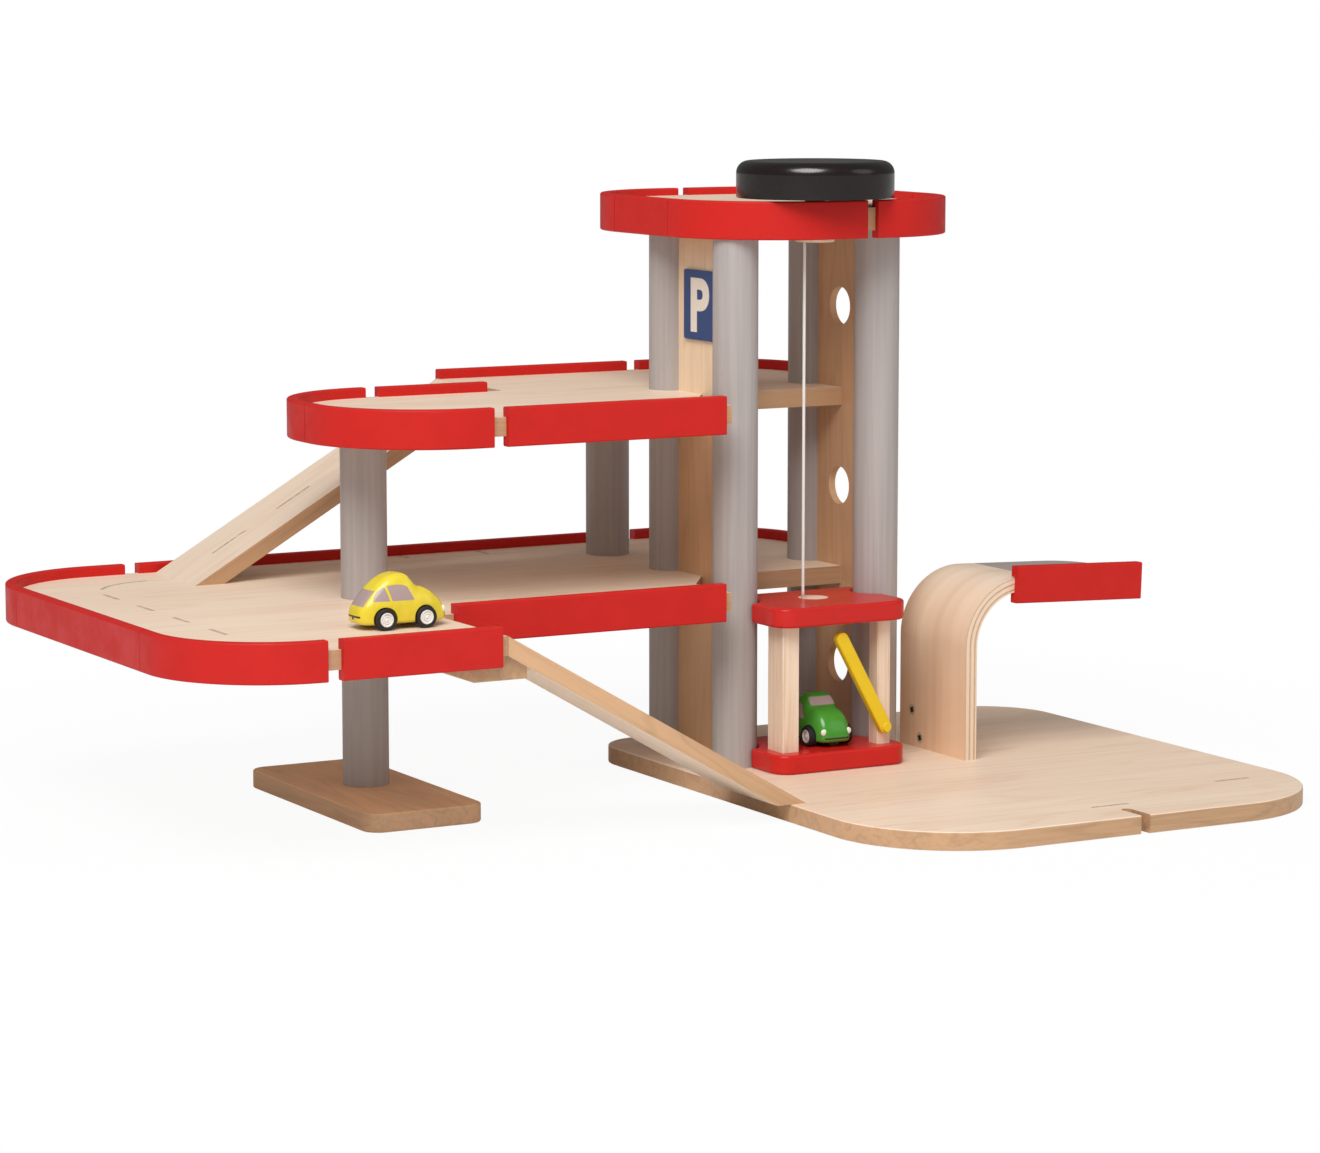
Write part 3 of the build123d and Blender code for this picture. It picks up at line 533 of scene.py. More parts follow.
# ---------------------------------------------------------------- cord
class GARAGE_OT_cord(bpy.types.Operator):
    """Hangs the lift's cord from the guide disc to the cage"""

    bl_idname = "garage.hang_cord"
    bl_label = "Hang lift cord"

    DRAWN_IN = 0.003  # what is left of the cord with the lift up
    WEAVE_PER_METRE = 500
    STRANDS = 4

    def execute(self, context):
        low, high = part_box("lift_cord")
        x, y = (low.x + high.x) / 2, (low.y + high.y) / 2
        route = [(x, y, high.z), (x, y, (low.z + high.z) / 2), (x, y, low.z)]
        points = self.centre_line(route)
        mesh = self.braid(points, sizes().cord_width / 2, sizes().cord_sides)
        cord = add_piece("cord", mesh, [self.weave()], "garage")
        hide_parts("lift_cord")
        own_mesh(cord)
        return {"FINISHED"}

    def centre_line(self, route):
        """Points along the smooth line through the route."""
        curve = bpy.data.curves.new("cord_route", "CURVE")
        curve.dimensions = "3D"
        spline = curve.splines.new("NURBS")
        spline.points.add(len(route) - 1)
        for point, place in zip(spline.points, route):
            point.co = (*place, 1.0)
        set_all(spline, order_u=3, use_endpoint_u=True, resolution_u=24)
        holder = new_object("cord_route", curve)
        line = settled_mesh(holder, "cord_line")
        points = [tuple(vertex.co) for vertex in line.vertices]
        bpy.data.objects.remove(holder)
        bpy.data.meshes.remove(line)
        return points

    def braid(self, points, radius, sides):
        """A closed tube round an upright line, mapped for the weave."""
        shape = bmesh.new()
        ways = [(radius * math.cos(math.tau * i / sides), radius * math.sin(math.tau * i / sides))
                for i in range(sides)]
        rings = [[shape.verts.new((x + across, y + along, z)) for across, along in ways]
                 for x, y, z in points]
        mapping = shape.loops.layers.uv.new("weave")
        start = points[0][2]
        for upper, lower in zip(rings, rings[1:]):
            for i in range(sides):
                j = (i + 1) % sides
                face = shape.faces.new((upper[i], lower[i], lower[j], upper[j]))
                face.smooth = True
                for loop, turn in zip(face.loops, (i, i, i + 1, i + 1)):
                    loop[mapping].uv = (turn / sides, (start - loop.vert.co.z) * self.WEAVE_PER_METRE)
        shape.faces.new(rings[0])
        shape.faces.new(list(reversed(rings[-1])))
        return mesh_from(shape, "cord")

    def weave(self):
        """Two sets of strands that cross as they wind round the cord, with painted shade in the grooves
        between them.
        """
        finish = Finish("cord_weave", 0.75, Sheen_Weight=0.25)
        across = finish.split(finish.node("UVMap", {"uv_map": "weave"}))
        turn = finish.product(across[0], math.tau * self.STRANDS)
        along = finish.product(across[1], math.tau)
        height = finish.most(finish.maths("SINE", finish.total(turn, along)),
                             finish.maths("SINE", finish.less(turn, along)))
        finish.bump(height, 0.00015, 0.6)
        cord = colours().cord
        # Painted shade: the weave is darker in the grooves between the strands
        return finish.paint(finish.mix(finish.ramp(height, -0.2, 0.9), shaded(cord, 0.72), cord))


# ---------------------------------------------------------------- boards, tower and rims
class GARAGE_OT_boards(bpy.types.Operator):
    """Finishes the base, decks, ramps, foot plate, posts and guide"""

    bl_idname = "garage.finish_boards"
    bl_label = "Finish boards"

    # Ramp, way that it falls, and how bright it is beside the boards
    RAMPS = (("lower_ramp", 1, 1.14), ("upper_ramp", -1, 0.90))
    POST_ROUND = 0.0006

    def execute(self, context):
        paint = colours()
        wood = (paint.board, paint.board_line, paint.board_edge)
        dress(board_finish("base_wood", ACROSS, *wood), "base_board")
        dress(board_finish("deck_wood", ACROSS, *wood), "level_1_deck", "level_2_deck", "top_deck")
        for node, way, tint in self.RAMPS:
            tones = [[min(0.96, part) for part in shaded(tone, tint)] for tone in wood]
            dress(board_finish(node + "_wood", (0.0, way * slope_of(node), 0.0), *tones), node)
        dress(board_finish("block_wood", DEEP, *wood), "lower_ramp_block", "upper_ramp_block")
        # The foot plate's colour carries painted light against the deck's shadow
        dress(board_finish("foot_wood", DEEP, paint.foot, shaded(paint.foot, 0.6), shaded(paint.foot, 0.8)),
              "foot_plate")
        post = Finish("post_wood", 0.45, Coat_Weight=0.1, Coat_Roughness=0.3)
        post.paint(wood_grain(post, UPRIGHT, paint.board, paint.board_line, figure=0.005, depth=0.9))
        dress(post.material, "lift_post_left", "canopy_cleat")
        self.slim_post(post.material)
        disc = Finish("guide_wood", 0.45)
        disc.paint(wood_grain(disc, ACROSS, paint.board, paint.board_line, figure=0.006, depth=0.6))
        dress(disc.material, "cord_guide", "cord_anchor")
        return {"FINISHED"}

    def slim_post(self, wood):
        """The cage's right post, slimmer than the left one, on the same front and right planes."""
        low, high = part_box("lift_post_right")
        size = (sizes().post_width, sizes().post_depth, high.z - low.z)
        centre = Vector((high.x - size[0] / 2, low.y + size[1] / 2, (low.z + high.z) / 2))
        mesh = rounded_block("right_post", centre, size, 2, self.POST_ROUND, 3)
        piece = add_piece("right_post", mesh, [wood], "lift")
        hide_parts("lift_post_right")


class GARAGE_OT_tower(bpy.types.Operator):
    """Finishes the pillars, supports and side panels"""

    bl_idname = "garage.finish_tower"
    bl_label = "Finish tower"

    UNDER_TOP = (0.030, 0.004)  # how far below the top deck the painted shade sets in and is full
    # share of painted shade close under the top deck
    TOP_SHADE_SHARE = 0.6

    def execute(self, context):
        paint = colours()
        dress(stain_finish("pillar_stain", paint.pillar), "pillar_front_left", "pillar_front_right",
              "pillar_rear_left", "pillar_rear_right", "front_support_lower", "front_support_upper",
              "rear_support")
        # The right panel's colour is painted shade
        for node, colour in (("left_panel", paint.left_panel), ("right_panel", paint.panel)):
            panel = Finish(node + "_wood", 0.48, Coat_Weight=0.05, Coat_Roughness=0.3, Specular_IOR_Level=0.3)
            grain = wood_grain(panel, UPRIGHT, colour, shaded(colour, 0.72), figure=0.02, depth=0.55)
            # The left panel gets painted shade below the upper deck and close under the top deck
            if node == "left_panel":
                grain = self.painted_panel_shade(panel, grain)
            dress(panel.paint(grain), node)
        return {"FINISHED"}

    def painted_panel_shade(self, panel, grain):
        """The grain with the right panel's darker tone painted in as shade below the upper deck and close
        under the top deck.
        """
        tone = colours().panel
        deck_low, deck_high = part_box("level_2_deck")
        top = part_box("top_deck")[0].z
        shade_grain = wood_grain(panel, UPRIGHT, tone, shaded(tone, 0.72))
        height = panel.split(panel.place)[2]
        grain = panel.mix(panel.ramp(height, deck_low.z, deck_high.z), shade_grain, grain)
        start, full = (top - gap for gap in self.UNDER_TOP)
        return panel.mix(panel.ramp(height, start, full, 0.0, self.TOP_SHADE_SHARE), grain, shade_grain)


class GARAGE_OT_rims(bpy.types.Operator):
    """Lacquers the rims of the decks and the canopy, and the lift's boards"""

    bl_idname = "garage.lacquer_rims"
    bl_label = "Lacquer rims"

    def execute(self, context):
        rims = [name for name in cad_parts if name.endswith(("_rail", "_corner"))]
        dress(lacquer_finish("rim_lacquer", colours().lacquer), *rims)
        dress(lacquer_finish("lift_lacquer", colours().lacquer, roughness=0.30, coat=0.20, bump=0.0000005,
                             patches=0.2), "lift_floor", "lift_roof")
        return {"FINISHED"}


# ---------------------------------------------------------------- canopy
class GARAGE_OT_canopy(bpy.types.Operator):
    """Finishes the bent canopy: grain round the bend, plies on the edge and the grey field on the roof"""

    bl_idname = "garage.finish_canopy"
    bl_label = "Finish canopy"

    BEND = 0.045  # outer radius
    FALL = math.tan(math.radians(2.0))  # of the roof to the right
    THICKNESS = 0.009
    PLIES = 5
    FIELD_START = (201, 202)  # where the grey field begins, in the terms of spot
    FIGURE, STREAKS = (0.35, 0.022, 1.0), (0.03, 0.0009, 1.0)  # lengths round the bend and across it

    def execute(self, context):
        paint = colours()
        low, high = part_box("canopy_arch")
        finish = Finish("canopy_wood", 0.42, Coat_Weight=0.12, Coat_Roughness=0.3)
        x, y, z = finish.split(finish.place)
        edge = self.plies(finish, x, z, low.x + self.BEND, high.z - self.BEND)
        turned = finish.node("CombineXYZ", X=finish.product(finish.less(z, x), 0.5), Y=y)
        broad = finish.grain(ACROSS, self.FIGURE, turned, detail=4.0, roughness=0.6, distortion=0.3)
        thin = finish.grain(ACROSS, self.STREAKS, turned, detail=3.0)
        share = finish.total(finish.ramp(broad, 0.35, 0.72, 0.0, 0.75),
                             finish.ramp(thin, 0.5, 0.8, 0.0, 0.3), clamp=True)
        facing = finish.normal()
        # Painted shade: the upright's left face takes the darker arch colours, fully at the bottom and less
        # at the top
        left = finish.ramp(finish.product(facing[0], -1.0), 0.2, 0.95)
        skin = finish.mix(finish.product(left, finish.ramp(z, high.z, low.z, 0.45, 1.0)),
                          finish.mix(share, paint.board, paint.board_line),
                          finish.mix(share, paint.arch, paint.arch_line))
        start, end = (spot(x_mm, 0, 0).x for x_mm in self.FIELD_START)
        field = finish.product(finish.ramp(x, start, end), finish.ramp(facing[2], 0.80, 0.90))
        skin = finish.mix(field, skin, paint.roof_paint)
        cut = finish.ramp(finish.maths("ABSOLUTE", facing[1]), 0.6, 0.9)
        finish.bump(thin, 0.0001, 0.3)
        dress(finish.paint(finish.mix(cut, skin, edge)), "canopy_arch")
        return {"FINISHED"}

    def plies(self, finish, x, z, centre_x, centre_z):
        """Colour of the edge: layers that follow the upright, the bend and the falling roof."""
        right = finish.less(centre_x, x)
        sunk = finish.product(finish.most(finish.product(right, -1.0), 0.0), self.FALL)
        rise = finish.most(finish.total(finish.less(z, centre_z), sunk), 0.0)
        reach = finish.maths("SQRT", finish.squares(finish.most(right, 0.0), rise))
        depth = finish.maths("DIVIDE", finish.less(self.BEND, reach), self.THICKNESS)
        ply = finish.maths("PINGPONG", finish.product(depth, self.PLIES / 2), 0.5)
        streaks = finish.noise(finish.place, scale=300.0, detail=3.0)
        ply = finish.total(ply, finish.product(streaks, 0.12))
        return finish.mix(finish.ramp(ply, 0.10, 0.34), colours().board_edge, shaded(colours().board, 0.94))


class GARAGE_OT_screws(bpy.types.Operator):
    """Drives the two countersunk screws into the canopy's upright"""

    bl_idname = "garage.drive_screws"
    bl_label = "Drive screws"

    HEAD = 0.004  # radius
    SHANK = 0.018  # length
    CROSS = (0.0010, 0.0002)  # width and thickness of the recess
    CROSS_SUNK = 0.00008
    CROSS_TURN = math.radians(24)

    def execute(self, context):
        low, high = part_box("canopy_screws")
        head = self.HEAD
        steel = speckled("screw_steel", 0.40, (0.01, 0.0003, 0.0003), (0.52, 0.40, 0.28), (0.70, 0.58, 0.44),
                         Metallic=0.25)
        # The cross recess is a near-black sheet: painted shade inside the recess
        shadow = speckled("screw_recess", 0.6, 900.0, (0.03, 0.015, 0.01), (0.06, 0.03, 0.02), detail=2.0)
        rule = Rule("Screws")
        first, second, bar = rule.inputs("Vector", "First", "Second", "Recess bar")
        metal, dark = rule.inputs("Material", "Metal", "Recess")
        places = rule.line(first, second, 2)
        dish = rule.node("MeshCone", Vertices=40, Radius_Top=head / 2, Radius_Bottom=head, Depth=head / 2)
        shank = rule.node("MeshCylinder", Vertices=24, Radius=head / 2, Depth=self.SHANK)
        shank = rule.node("Transform", Geometry=shank, Translation=(0, 0, self.SHANK / 2))
        screws = rule.finish(rule.instances(places, rule.join(dish, shank), UPRIGHT), metal)
        bar = rule.node("MeshCube", Size=bar)
        other = rule.node("Transform", Geometry=bar, Rotation=DEEP)
        cross = rule.node("Transform", Geometry=rule.join(bar, other), Translation=(0, 0, -self.CROSS_SUNK),
                          Rotation=(0, 0, self.CROSS_TURN))
        recess = rule.finish(rule.instances(places, cross, UPRIGHT), dark)
        upper = (low.x, high.y - head, high.z - head)
        lower = (low.x, low.y + head, low.z + head)
        mesh = rule.make("screws", rule.join(screws, recess),
                         {"First": upper, "Second": lower, "Metal": steel.material, "Recess": shadow.material,
                          "Recess bar": (sizes().screw_recess, *self.CROSS)})
        piece = add_piece("screws", mesh, [], "garage")
        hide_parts("canopy_screws")
        return {"FINISHED"}


# ---------------------------------------------------------------- prints
class GARAGE_OT_marks(bpy.types.Operator):
    """Prints the road marks on the lower deck, the base and the upper ramp"""

    bl_idname = "garage.print_marks"
    bl_label = "Print road marks"

    # Board, row, its first and last dash in the terms of spot, how many, their length and turn
    ROWS = (
        ("level_1_deck", "lane_marks", (-385, 137), (-385, -38), 4, 0.026, DEEP),
        ("level_1_deck", "bay_marks", (-75, 225), (-133.3, 231.5), 2, 0.024, DEEP),
        ("base_board", "street_marks", (135, -239), (135, -239), 1, 0.028, ACROSS),
        ("base_board", "yard_marks", (256.5, -204), (256.5, -204), 1, 0.027, ACROSS),
    )
    ON_RAMP = (("ramp_mark_low", (-277.5, 195)), ("ramp_mark_high", (-230.5, 195)))
    ON_RAMP_LENGTH = 0.028
    CORNER = (-335, 150)  # centre of the curved mark
    CORNER_RADIUS = 0.048
    CORNER_START, CORNER_SWEEP, CORNER_STEPS = 90, 62, 24  # in degrees, and how many pieces

    def execute(self, context):
        mark = colours().road_mark
        pale = [(a + b) / 2 for a, b in zip(mark, colours().board)]
        ink = speckled("road_ink", 0.6, 260.0, mark, pale, detail=4.0, span=(0.40, 0.70)).material
        for board, name, first, last, count, length, turn in self.ROWS:
            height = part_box(board)[1].z * 1000
            self.dashes(name, ink, spot(*first, height), spot(*last, height), count, length, turn)
        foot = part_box("upper_ramp")[0]
        slope = slope_of("upper_ramp")
        for name, (x, y) in self.ON_RAMP:
            place = spot(x, y, 0)
            place.z = foot.z + (place.x - foot.x) * math.tan(slope)
            self.dashes(name, ink, place, place, 1, self.ON_RAMP_LENGTH, (0.0, -slope, 0.0))
        self.curve_mark(ink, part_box("level_1_deck")[1].z)
        return {"FINISHED"}

    def dashes(self, name, ink, start, end, count, length, turn):
        """A row of equal dashes from start to end."""
        rule = Rule(name.replace("_", " ").capitalize())
        first, last, size = rule.inputs("Vector", "First", "Last", "Size")
        number, = rule.inputs("Int", "Number")
        angle, = rule.inputs("Rotation", "Turn")
        colour, = rule.inputs("Material", "Ink")
        dash = rule.node("MeshCube", Size=size, Vertices_X=6, Vertices_Y=2, Vertices_Z=2)
        row = rule.instances(rule.line(first, last, number), dash, angle)
        bar = (length, sizes().mark_width, 2 * sizes().mark_depth)
        mesh = rule.make(name, rule.finish(row, colour),
                         {"First": tuple(start), "Last": tuple(end), "Number": count, "Size": bar,
                          "Turn": turn, "Ink": ink})
        add_piece(name, mesh, [], "garage")

    def curve_mark(self, ink, deck):
        """The mark that swings round the lower deck's rear left corner."""
        centre = spot(*self.CORNER, 0)
        half, steps = sizes().mark_width / 2, self.CORNER_STEPS
        shape = bmesh.new()
        pairs = []
        for i in range(steps + 1):
            angle = math.radians(self.CORNER_START + self.CORNER_SWEEP * i / steps)
            way = Vector((math.cos(angle), math.sin(angle), 0.0))
            for reach in (self.CORNER_RADIUS - half, self.CORNER_RADIUS + half):
                point = centre + way * reach
                pairs.append(shape.verts.new((point.x, point.y, deck - sizes().mark_depth)))
        faces = [shape.faces.new((pairs[i], pairs[i + 1], pairs[i + 3], pairs[i + 2]))
                 for i in range(0, 2 * steps, 2)]
        risen = bmesh.ops.extrude_face_region(shape, geom=faces)
        for item in risen["geom"]:
            if isinstance(item, bmesh.types.BMVert):
                item.co.z = deck + sizes().mark_depth
        bmesh.ops.recalc_face_normals(shape, faces=shape.faces)
        add_piece("corner_mark", mesh_from(shape, "corner_mark"), [ink], "garage")


class GARAGE_OT_sign(bpy.types.Operator):
    """Puts the parking sign on the tower's left panel and prints its letter"""

    bl_idname = "garage.letter_sign"
    bl_label = "Letter sign"

    PLACE = (37.6, 315.1)  # of the plate's middle behind and above, in the terms of spot
    CORNER = 0.0008
    SHIFT = 0.0014  # of the letter to the rear
    WEIGHT = 0.036  # how far the letter's strokes are thickened
    THIN = 0.01  # depth of the letter before it is sized
    PROUD = 0.0002
    SHAPE = 0.68  # width to height

    def execute(self, context):
        blue = colours().sign
        ground = speckled("sign_print", 0.35, 400.0, blue, shaded(blue, 0.8), Coat_Weight=0.2)
        low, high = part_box("parking_sign")
        side, depth = sizes().sign_side, high.x - low.x
        centre = spot(0, *self.PLACE)
        centre.x = low.x
        plate = rounded_block("sign_plate", centre + Vector((depth / 2, 0.0, 0.0)), (depth, side, side), 0,
                              self.CORNER, 4)
        piece = add_piece("sign_plate", plate, [ground.material], "garage")
        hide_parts("parking_sign")
        self.letter(centre + Vector((0.0, self.SHIFT, 0.0)))
        return {"FINISHED"}

    def letter(self, centre):
        """The P, standing a little proud of the plate."""
        text = set_all(bpy.data.curves.new("letter", "FONT"), body="P", offset=self.WEIGHT,
                       extrude=self.THIN, resolution_u=16)
        holder = new_object("letter", text)
        mesh = settled_mesh(holder, "letter")
        bpy.data.objects.remove(holder)
        xs = [vertex.co.x for vertex in mesh.vertices]
        ys = [vertex.co.y for vertex in mesh.vertices]
        tall = sizes().letter_height / (max(ys) - min(ys))
        wide = self.SHAPE * sizes().letter_height / (max(xs) - min(xs))
        turn = Matrix(((0, 0, -1), (-1, 0, 0), (0, 1, 0))).to_4x4()
        flat = Matrix.Diagonal((wide, tall, self.PROUD / self.THIN, 1.0))
        middle_x, middle_y = (max(xs) + min(xs)) / 2, (max(ys) + min(ys)) / 2
        mesh.transform(Matrix.Translation(centre) @ turn @ flat
                       @ Matrix.Translation((-middle_x, -middle_y, 0.0)))
        cream = colours().letter
        ink = speckled("letter_print", 0.4, 500.0, cream, shaded(cream, 0.94), detail=2.0)
        mesh.materials.clear()
        add_piece("letter", mesh, [ink.material], "garage")


# ---------------------------------------------------------------- winch and barrier
class GARAGE_OT_winch(bpy.types.Operator):
    """Lacquers the winch knob and drum and finishes the axle and knot"""

    bl_idname = "garage.finish_winch"
    bl_label = "Finish winch"

    def execute(self, context):
        cord = colours().cord
        dress(lacquer_finish("knob_lacquer", colours().knob, roughness=0.26, coat=0.90, bump=0.000008,
                             shine=0.25), "winch_knob", "winch_drum")
        steel = speckled("axle_steel", 0.3, (0.02, 0.02, 0.0004), (0.50, 0.49, 0.47), (0.62, 0.61, 0.59),
                         Metallic=1.0)
        dress(steel.material, "winch_axle")
        thread = speckled("knot_thread", 0.8, 1400.0, cord, shaded(cord, 0.7), bump=(0.0003, 0.7),
                          Sheen_Weight=0.2)
        dress(thread.material, "cord_knot")
        return {"FINISHED"}


class GARAGE_OT_barrier(bpy.types.Operator):
    """Lacquers the barrier arm and its pin"""

    bl_idname = "garage.lacquer_barrier"
    bl_label = "Lacquer barrier"

    def execute(self, context):
        dress(lacquer_finish("arm_lacquer", colours().arm, roughness=0.34), "barrier_arm", "barrier_pin")
        return {"FINISHED"}


# ---------------------------------------------------------------- cars
class GARAGE_OT_cars(bpy.types.Operator):
    """Builds the two cars: rounded bodies with windows and lights, and wheels on axles"""

    bl_idname = "garage.build_cars"
    bl_label = "Build cars"

    # Car, heading in degrees, and what its tail and nose are longer than its solid's
    CARS = (("yellow_car", 0.0, 0.0013, 0.0026), ("green_car", -90.0, 0.0, 0.0))
    # Side outline in millimetres from the middle and the ground: tail, cabin, bonnet and underside
    OUTLINE = (
        (-27.0, 3.6), (-28.0, 8.0), (-26.8, 13.5), (-24.0, 18.6), (-20.4, 23.6), (-15.2, 28.6),
        (-9.0, 32.4), (-3.0, 34.0), (2.0, 33.7), (5.6, 31.8), (8.4, 28.4), (11.2, 25.6),
        (16.0, 24.2), (21.0, 21.2), (25.0, 16.2), (27.4, 10.4), (27.9, 6.0), (26.6, 3.4),
        (20.0, 3.0), (7.0, 3.0), (-7.0, 3.0), (-20.0, 3.0),
    )
    OUTLINE_STEPS = 5
    HALF_WIDTH, HEART, STATIONS = 15.0, 6.0, 52  # the outline shrinks towards the height of the heart
    FULLNESS = 5  # power of the flanks' curve
    WAIST, CABIN, LEAN = 15.0, 19.0, 0.13  # above the waist the flanks lean in over the cabin's height
    SHARP = 35.0  # angle in degrees above which an edge stays sharp
    OVERHANG = (0.0215, 0.0063)  # where it starts and its reach
    WHEEL_BASE_HALF, ARCH_SIDE, ARCH_DEPTH, ARCH_CLEAR = 0.0135, 0.0148, 0.012, 0.0009
    LAMP, LAMP_RADIUS, LAMP_FLAT = (0.0256, 0.0094, 0.0104), 0.0023, 0.45
    LAMP_SHARE = 0.7  # of the nose's lengthening that the lamps move forward
    WHEEL_WIDTH, TYRE_ROUND, HUB_SUNK, AXLE = 0.0062, 0.0008, 0.0006, 0.0012
    HUB_LIPS = ((0.0006, 0.00060), (0.0023, 0.00045))  # how far inside the hub's rim, and thickness
    CAP, CAP_FLAT = 0.0013, 0.55
    INTO_TYRE, INTO_HUBS = 0.0001, 0.002  # how far the hub and the axle overlap what they sit in

    def execute(self, context):
        grit = ((0.012, 0.012, 0.013), (0.032, 0.030, 0.030))
        tyre = speckled("tyre_rubber", 0.55, 2200.0, *grit, bump=(0.0001, 0.5), Specular_IOR_Level=0.3)
        hub = speckled("hub_plastic", 0.30, 900.0, (0.84, 0.83, 0.80), (0.66, 0.64, 0.61), span=(0.45, 0.75),
                       Coat_Weight=0.3)
        finishes = {"Rubber": tyre.material, "Plastic": hub.material,
                    "Metal": bpy.data.materials["axle_steel"]}
        for name, heading, tail, nose in self.CARS:
            turn = Matrix.Rotation(math.radians(heading), 4, "Z")
            body = middle(name + "_body")
            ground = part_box(name + "_front_wheels")[0].z
            seat = Matrix.Translation((body.x, body.y, ground)) @ turn
            shell = self.shell(name, ground, tail, nose)
            shell.transform(seat)
            shade_smooth(shell, self.SHARP)
            piece = add_piece(name, shell, [self.car_paint(name, getattr(colours(), name), seat)], name)
            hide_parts(name + "_body")
            self.lamps(name, seat, nose)
            for end in ("front", "rear"):
                node = f"{name}_{end}_wheels"
                wheels = self.wheels(node + "_turned", node, finishes)
                wheels.transform(Matrix.Translation(middle(node)) @ turn)
                pair = add_piece(f"{name}_{end}_pair", wheels, [], f"{name}_{end}")
                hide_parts(node)
        return {"FINISHED"}

    def smooth_outline(self):
        """A smooth closed line through the outline's corners."""
        corners, steps = self.OUTLINE, self.OUTLINE_STEPS
        points = []
        for i in range(len(corners)):
            before, start, end, after = (corners[(i + k) % len(corners)] for k in (-1, 0, 1, 2))
            for j in range(steps):
                t = j / steps
                points.append(tuple(
                    0.5 * (2 * start[k] + (end[k] - before[k]) * t
                           + (2 * before[k] - 5 * start[k] + 4 * end[k] - after[k]) * t * t
                           + (3 * start[k] - before[k] - 3 * end[k] + after[k]) * t ** 3) for k in (0, 1)))
        return points

    def shell(self, name, ground, tail, nose):
        """The car's skin: its side outline drawn in towards both flanks, with the wheel arches cut."""
        low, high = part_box(name + "_body")
        width, length = sorted((high.x - low.x, high.y - low.y))
        skin = new_object(name + "_skin", self.drawn_in(name + "_skin"))
        arches = self.arches(name, (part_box(name + "_front_wheels")[1].z - ground) / 2)
        for kind, settings in (("REMESH", {"mode": "VOXEL", "voxel_size": sizes().car_voxel}),
                               ("SMOOTH", {"factor": 0.5, "iterations": 6}),
                               ("BOOLEAN", {"operation": "DIFFERENCE", "solver": "EXACT", "object": arches})):
            set_all(skin.modifiers.new(kind.lower(), kind), **settings)
        mesh = settled_mesh(skin, name)
        for spare in (skin, arches):
            bpy.data.objects.remove(spare)
        self.keep_within(mesh, length, width, low.z - ground, high.z - ground)
        self.lengthen(mesh, tail, nose)
        return mesh

    def drawn_in(self, name):
        """Rows of the side outline from flank to flank, closed at each flank's heart."""
        outline = self.smooth_outline()
        count = len(outline)
        shape = bmesh.new()
        rows = []
        for j in range(1, self.STATIONS):
            across = math.sin(-math.pi / 2 + math.pi * j / self.STATIONS)
            inset = math.sqrt(1 - abs(across) ** self.FULLNESS)
            row = []
            for x, z in outline:
                level = self.HEART + (z - self.HEART) * inset
                lean = 1 - self.LEAN * max(0.0, level - self.WAIST) / self.CABIN
                place = (x * inset / 1000, self.HALF_WIDTH * across * lean / 1000, level / 1000)
                row.append(shape.verts.new(place))
            rows.append(row)
        for inner, outer in zip(rows, rows[1:]):
            for i in range(count):
                k = (i + 1) % count
                shape.faces.new((inner[i], inner[k], outer[k], outer[i]))
        for row, side in ((rows[0], -1), (rows[-1], 1)):
            pole = shape.verts.new((0.0, side * self.HALF_WIDTH / 1000, self.HEART / 1000))
            for i in range(count):
                shape.faces.new((row[i], row[(i + 1) % count], pole))
        bmesh.ops.recalc_face_normals(shape, faces=shape.faces)
        return mesh_from(shape, name)

    def keep_within(self, mesh, length, width, floor, roof):
        """Scales the skin to the CAD body's box."""
        for axis, low, high in ((0, -length / 2, length / 2), (1, -width / 2, width / 2), (2, floor, roof)):
            values = [vertex.co[axis] for vertex in mesh.vertices]
            least, most = min(values), max(values)
            for vertex in mesh.vertices:
                vertex.co[axis] = low + (vertex.co[axis] - least) * (high - low) / (most - least)

    def lengthen(self, mesh, tail, nose):
        """Draws out the overhangs behind and in front of the wheel arches."""
        start, reach = self.OVERHANG
        for vertex in mesh.vertices:
            past = (abs(vertex.co.x) - start) / reach
            if past > 0.0:
                vertex.co.x += nose * past if vertex.co.x > 0.0 else -tail * past

    def arches(self, name, radius):
        """Four short drums that cut the wheel arches."""
        shape = bmesh.new()
        for x in (-self.WHEEL_BASE_HALF, self.WHEEL_BASE_HALF):
            for side in (-1, 1):
                place = (Matrix.Translation((x, side * self.ARCH_SIDE, radius))
                         @ Matrix.Rotation(math.radians(90), 4, "X"))
                bmesh.ops.create_cone(shape, cap_ends=True, segments=64, radius1=radius + self.ARCH_CLEAR,
                                      radius2=radius + self.ARCH_CLEAR, depth=self.ARCH_DEPTH, matrix=place)
        arches = new_object(name + "_arches", mesh_from(shape, name + "_arches"))
        arches.hide_render = True
        return arches

    def car_paint(self, name, colour, seat):
        """Gloss paint with the windows printed on and the bumper slots at the nose and tail painted
        near-black as shade, in millimetres along the car.
        """
        finish = Finish(name + "_paint", 0.26, Coat_Weight=0.35, Coat_Roughness=0.08, Specular_IOR_Level=0.35)
        local = finish.node("Mapping", {"vector_type": "TEXTURE"}, Vector=finish.place,
                            Location=seat.to_translation(), Rotation=seat.to_euler(), Scale=(0.001,) * 3)
        x, y, z = finish.split(local)
        flank = finish.maths("ABSOLUTE", y)

        def within(value, low, high, soft=0.3):
            return finish.product(finish.ramp(value, low - soft, low + soft),
                                  finish.ramp(value, high + soft, high - soft))

        def dome(middle_x, base_z, reach_x, reach_z):
            across = finish.maths("DIVIDE", finish.less(x, middle_x), reach_x)
            upward = finish.maths("DIVIDE", finish.less(z, base_z), reach_z)
            return finish.ramp(finish.squares(across, upward), 1.05, 0.95)

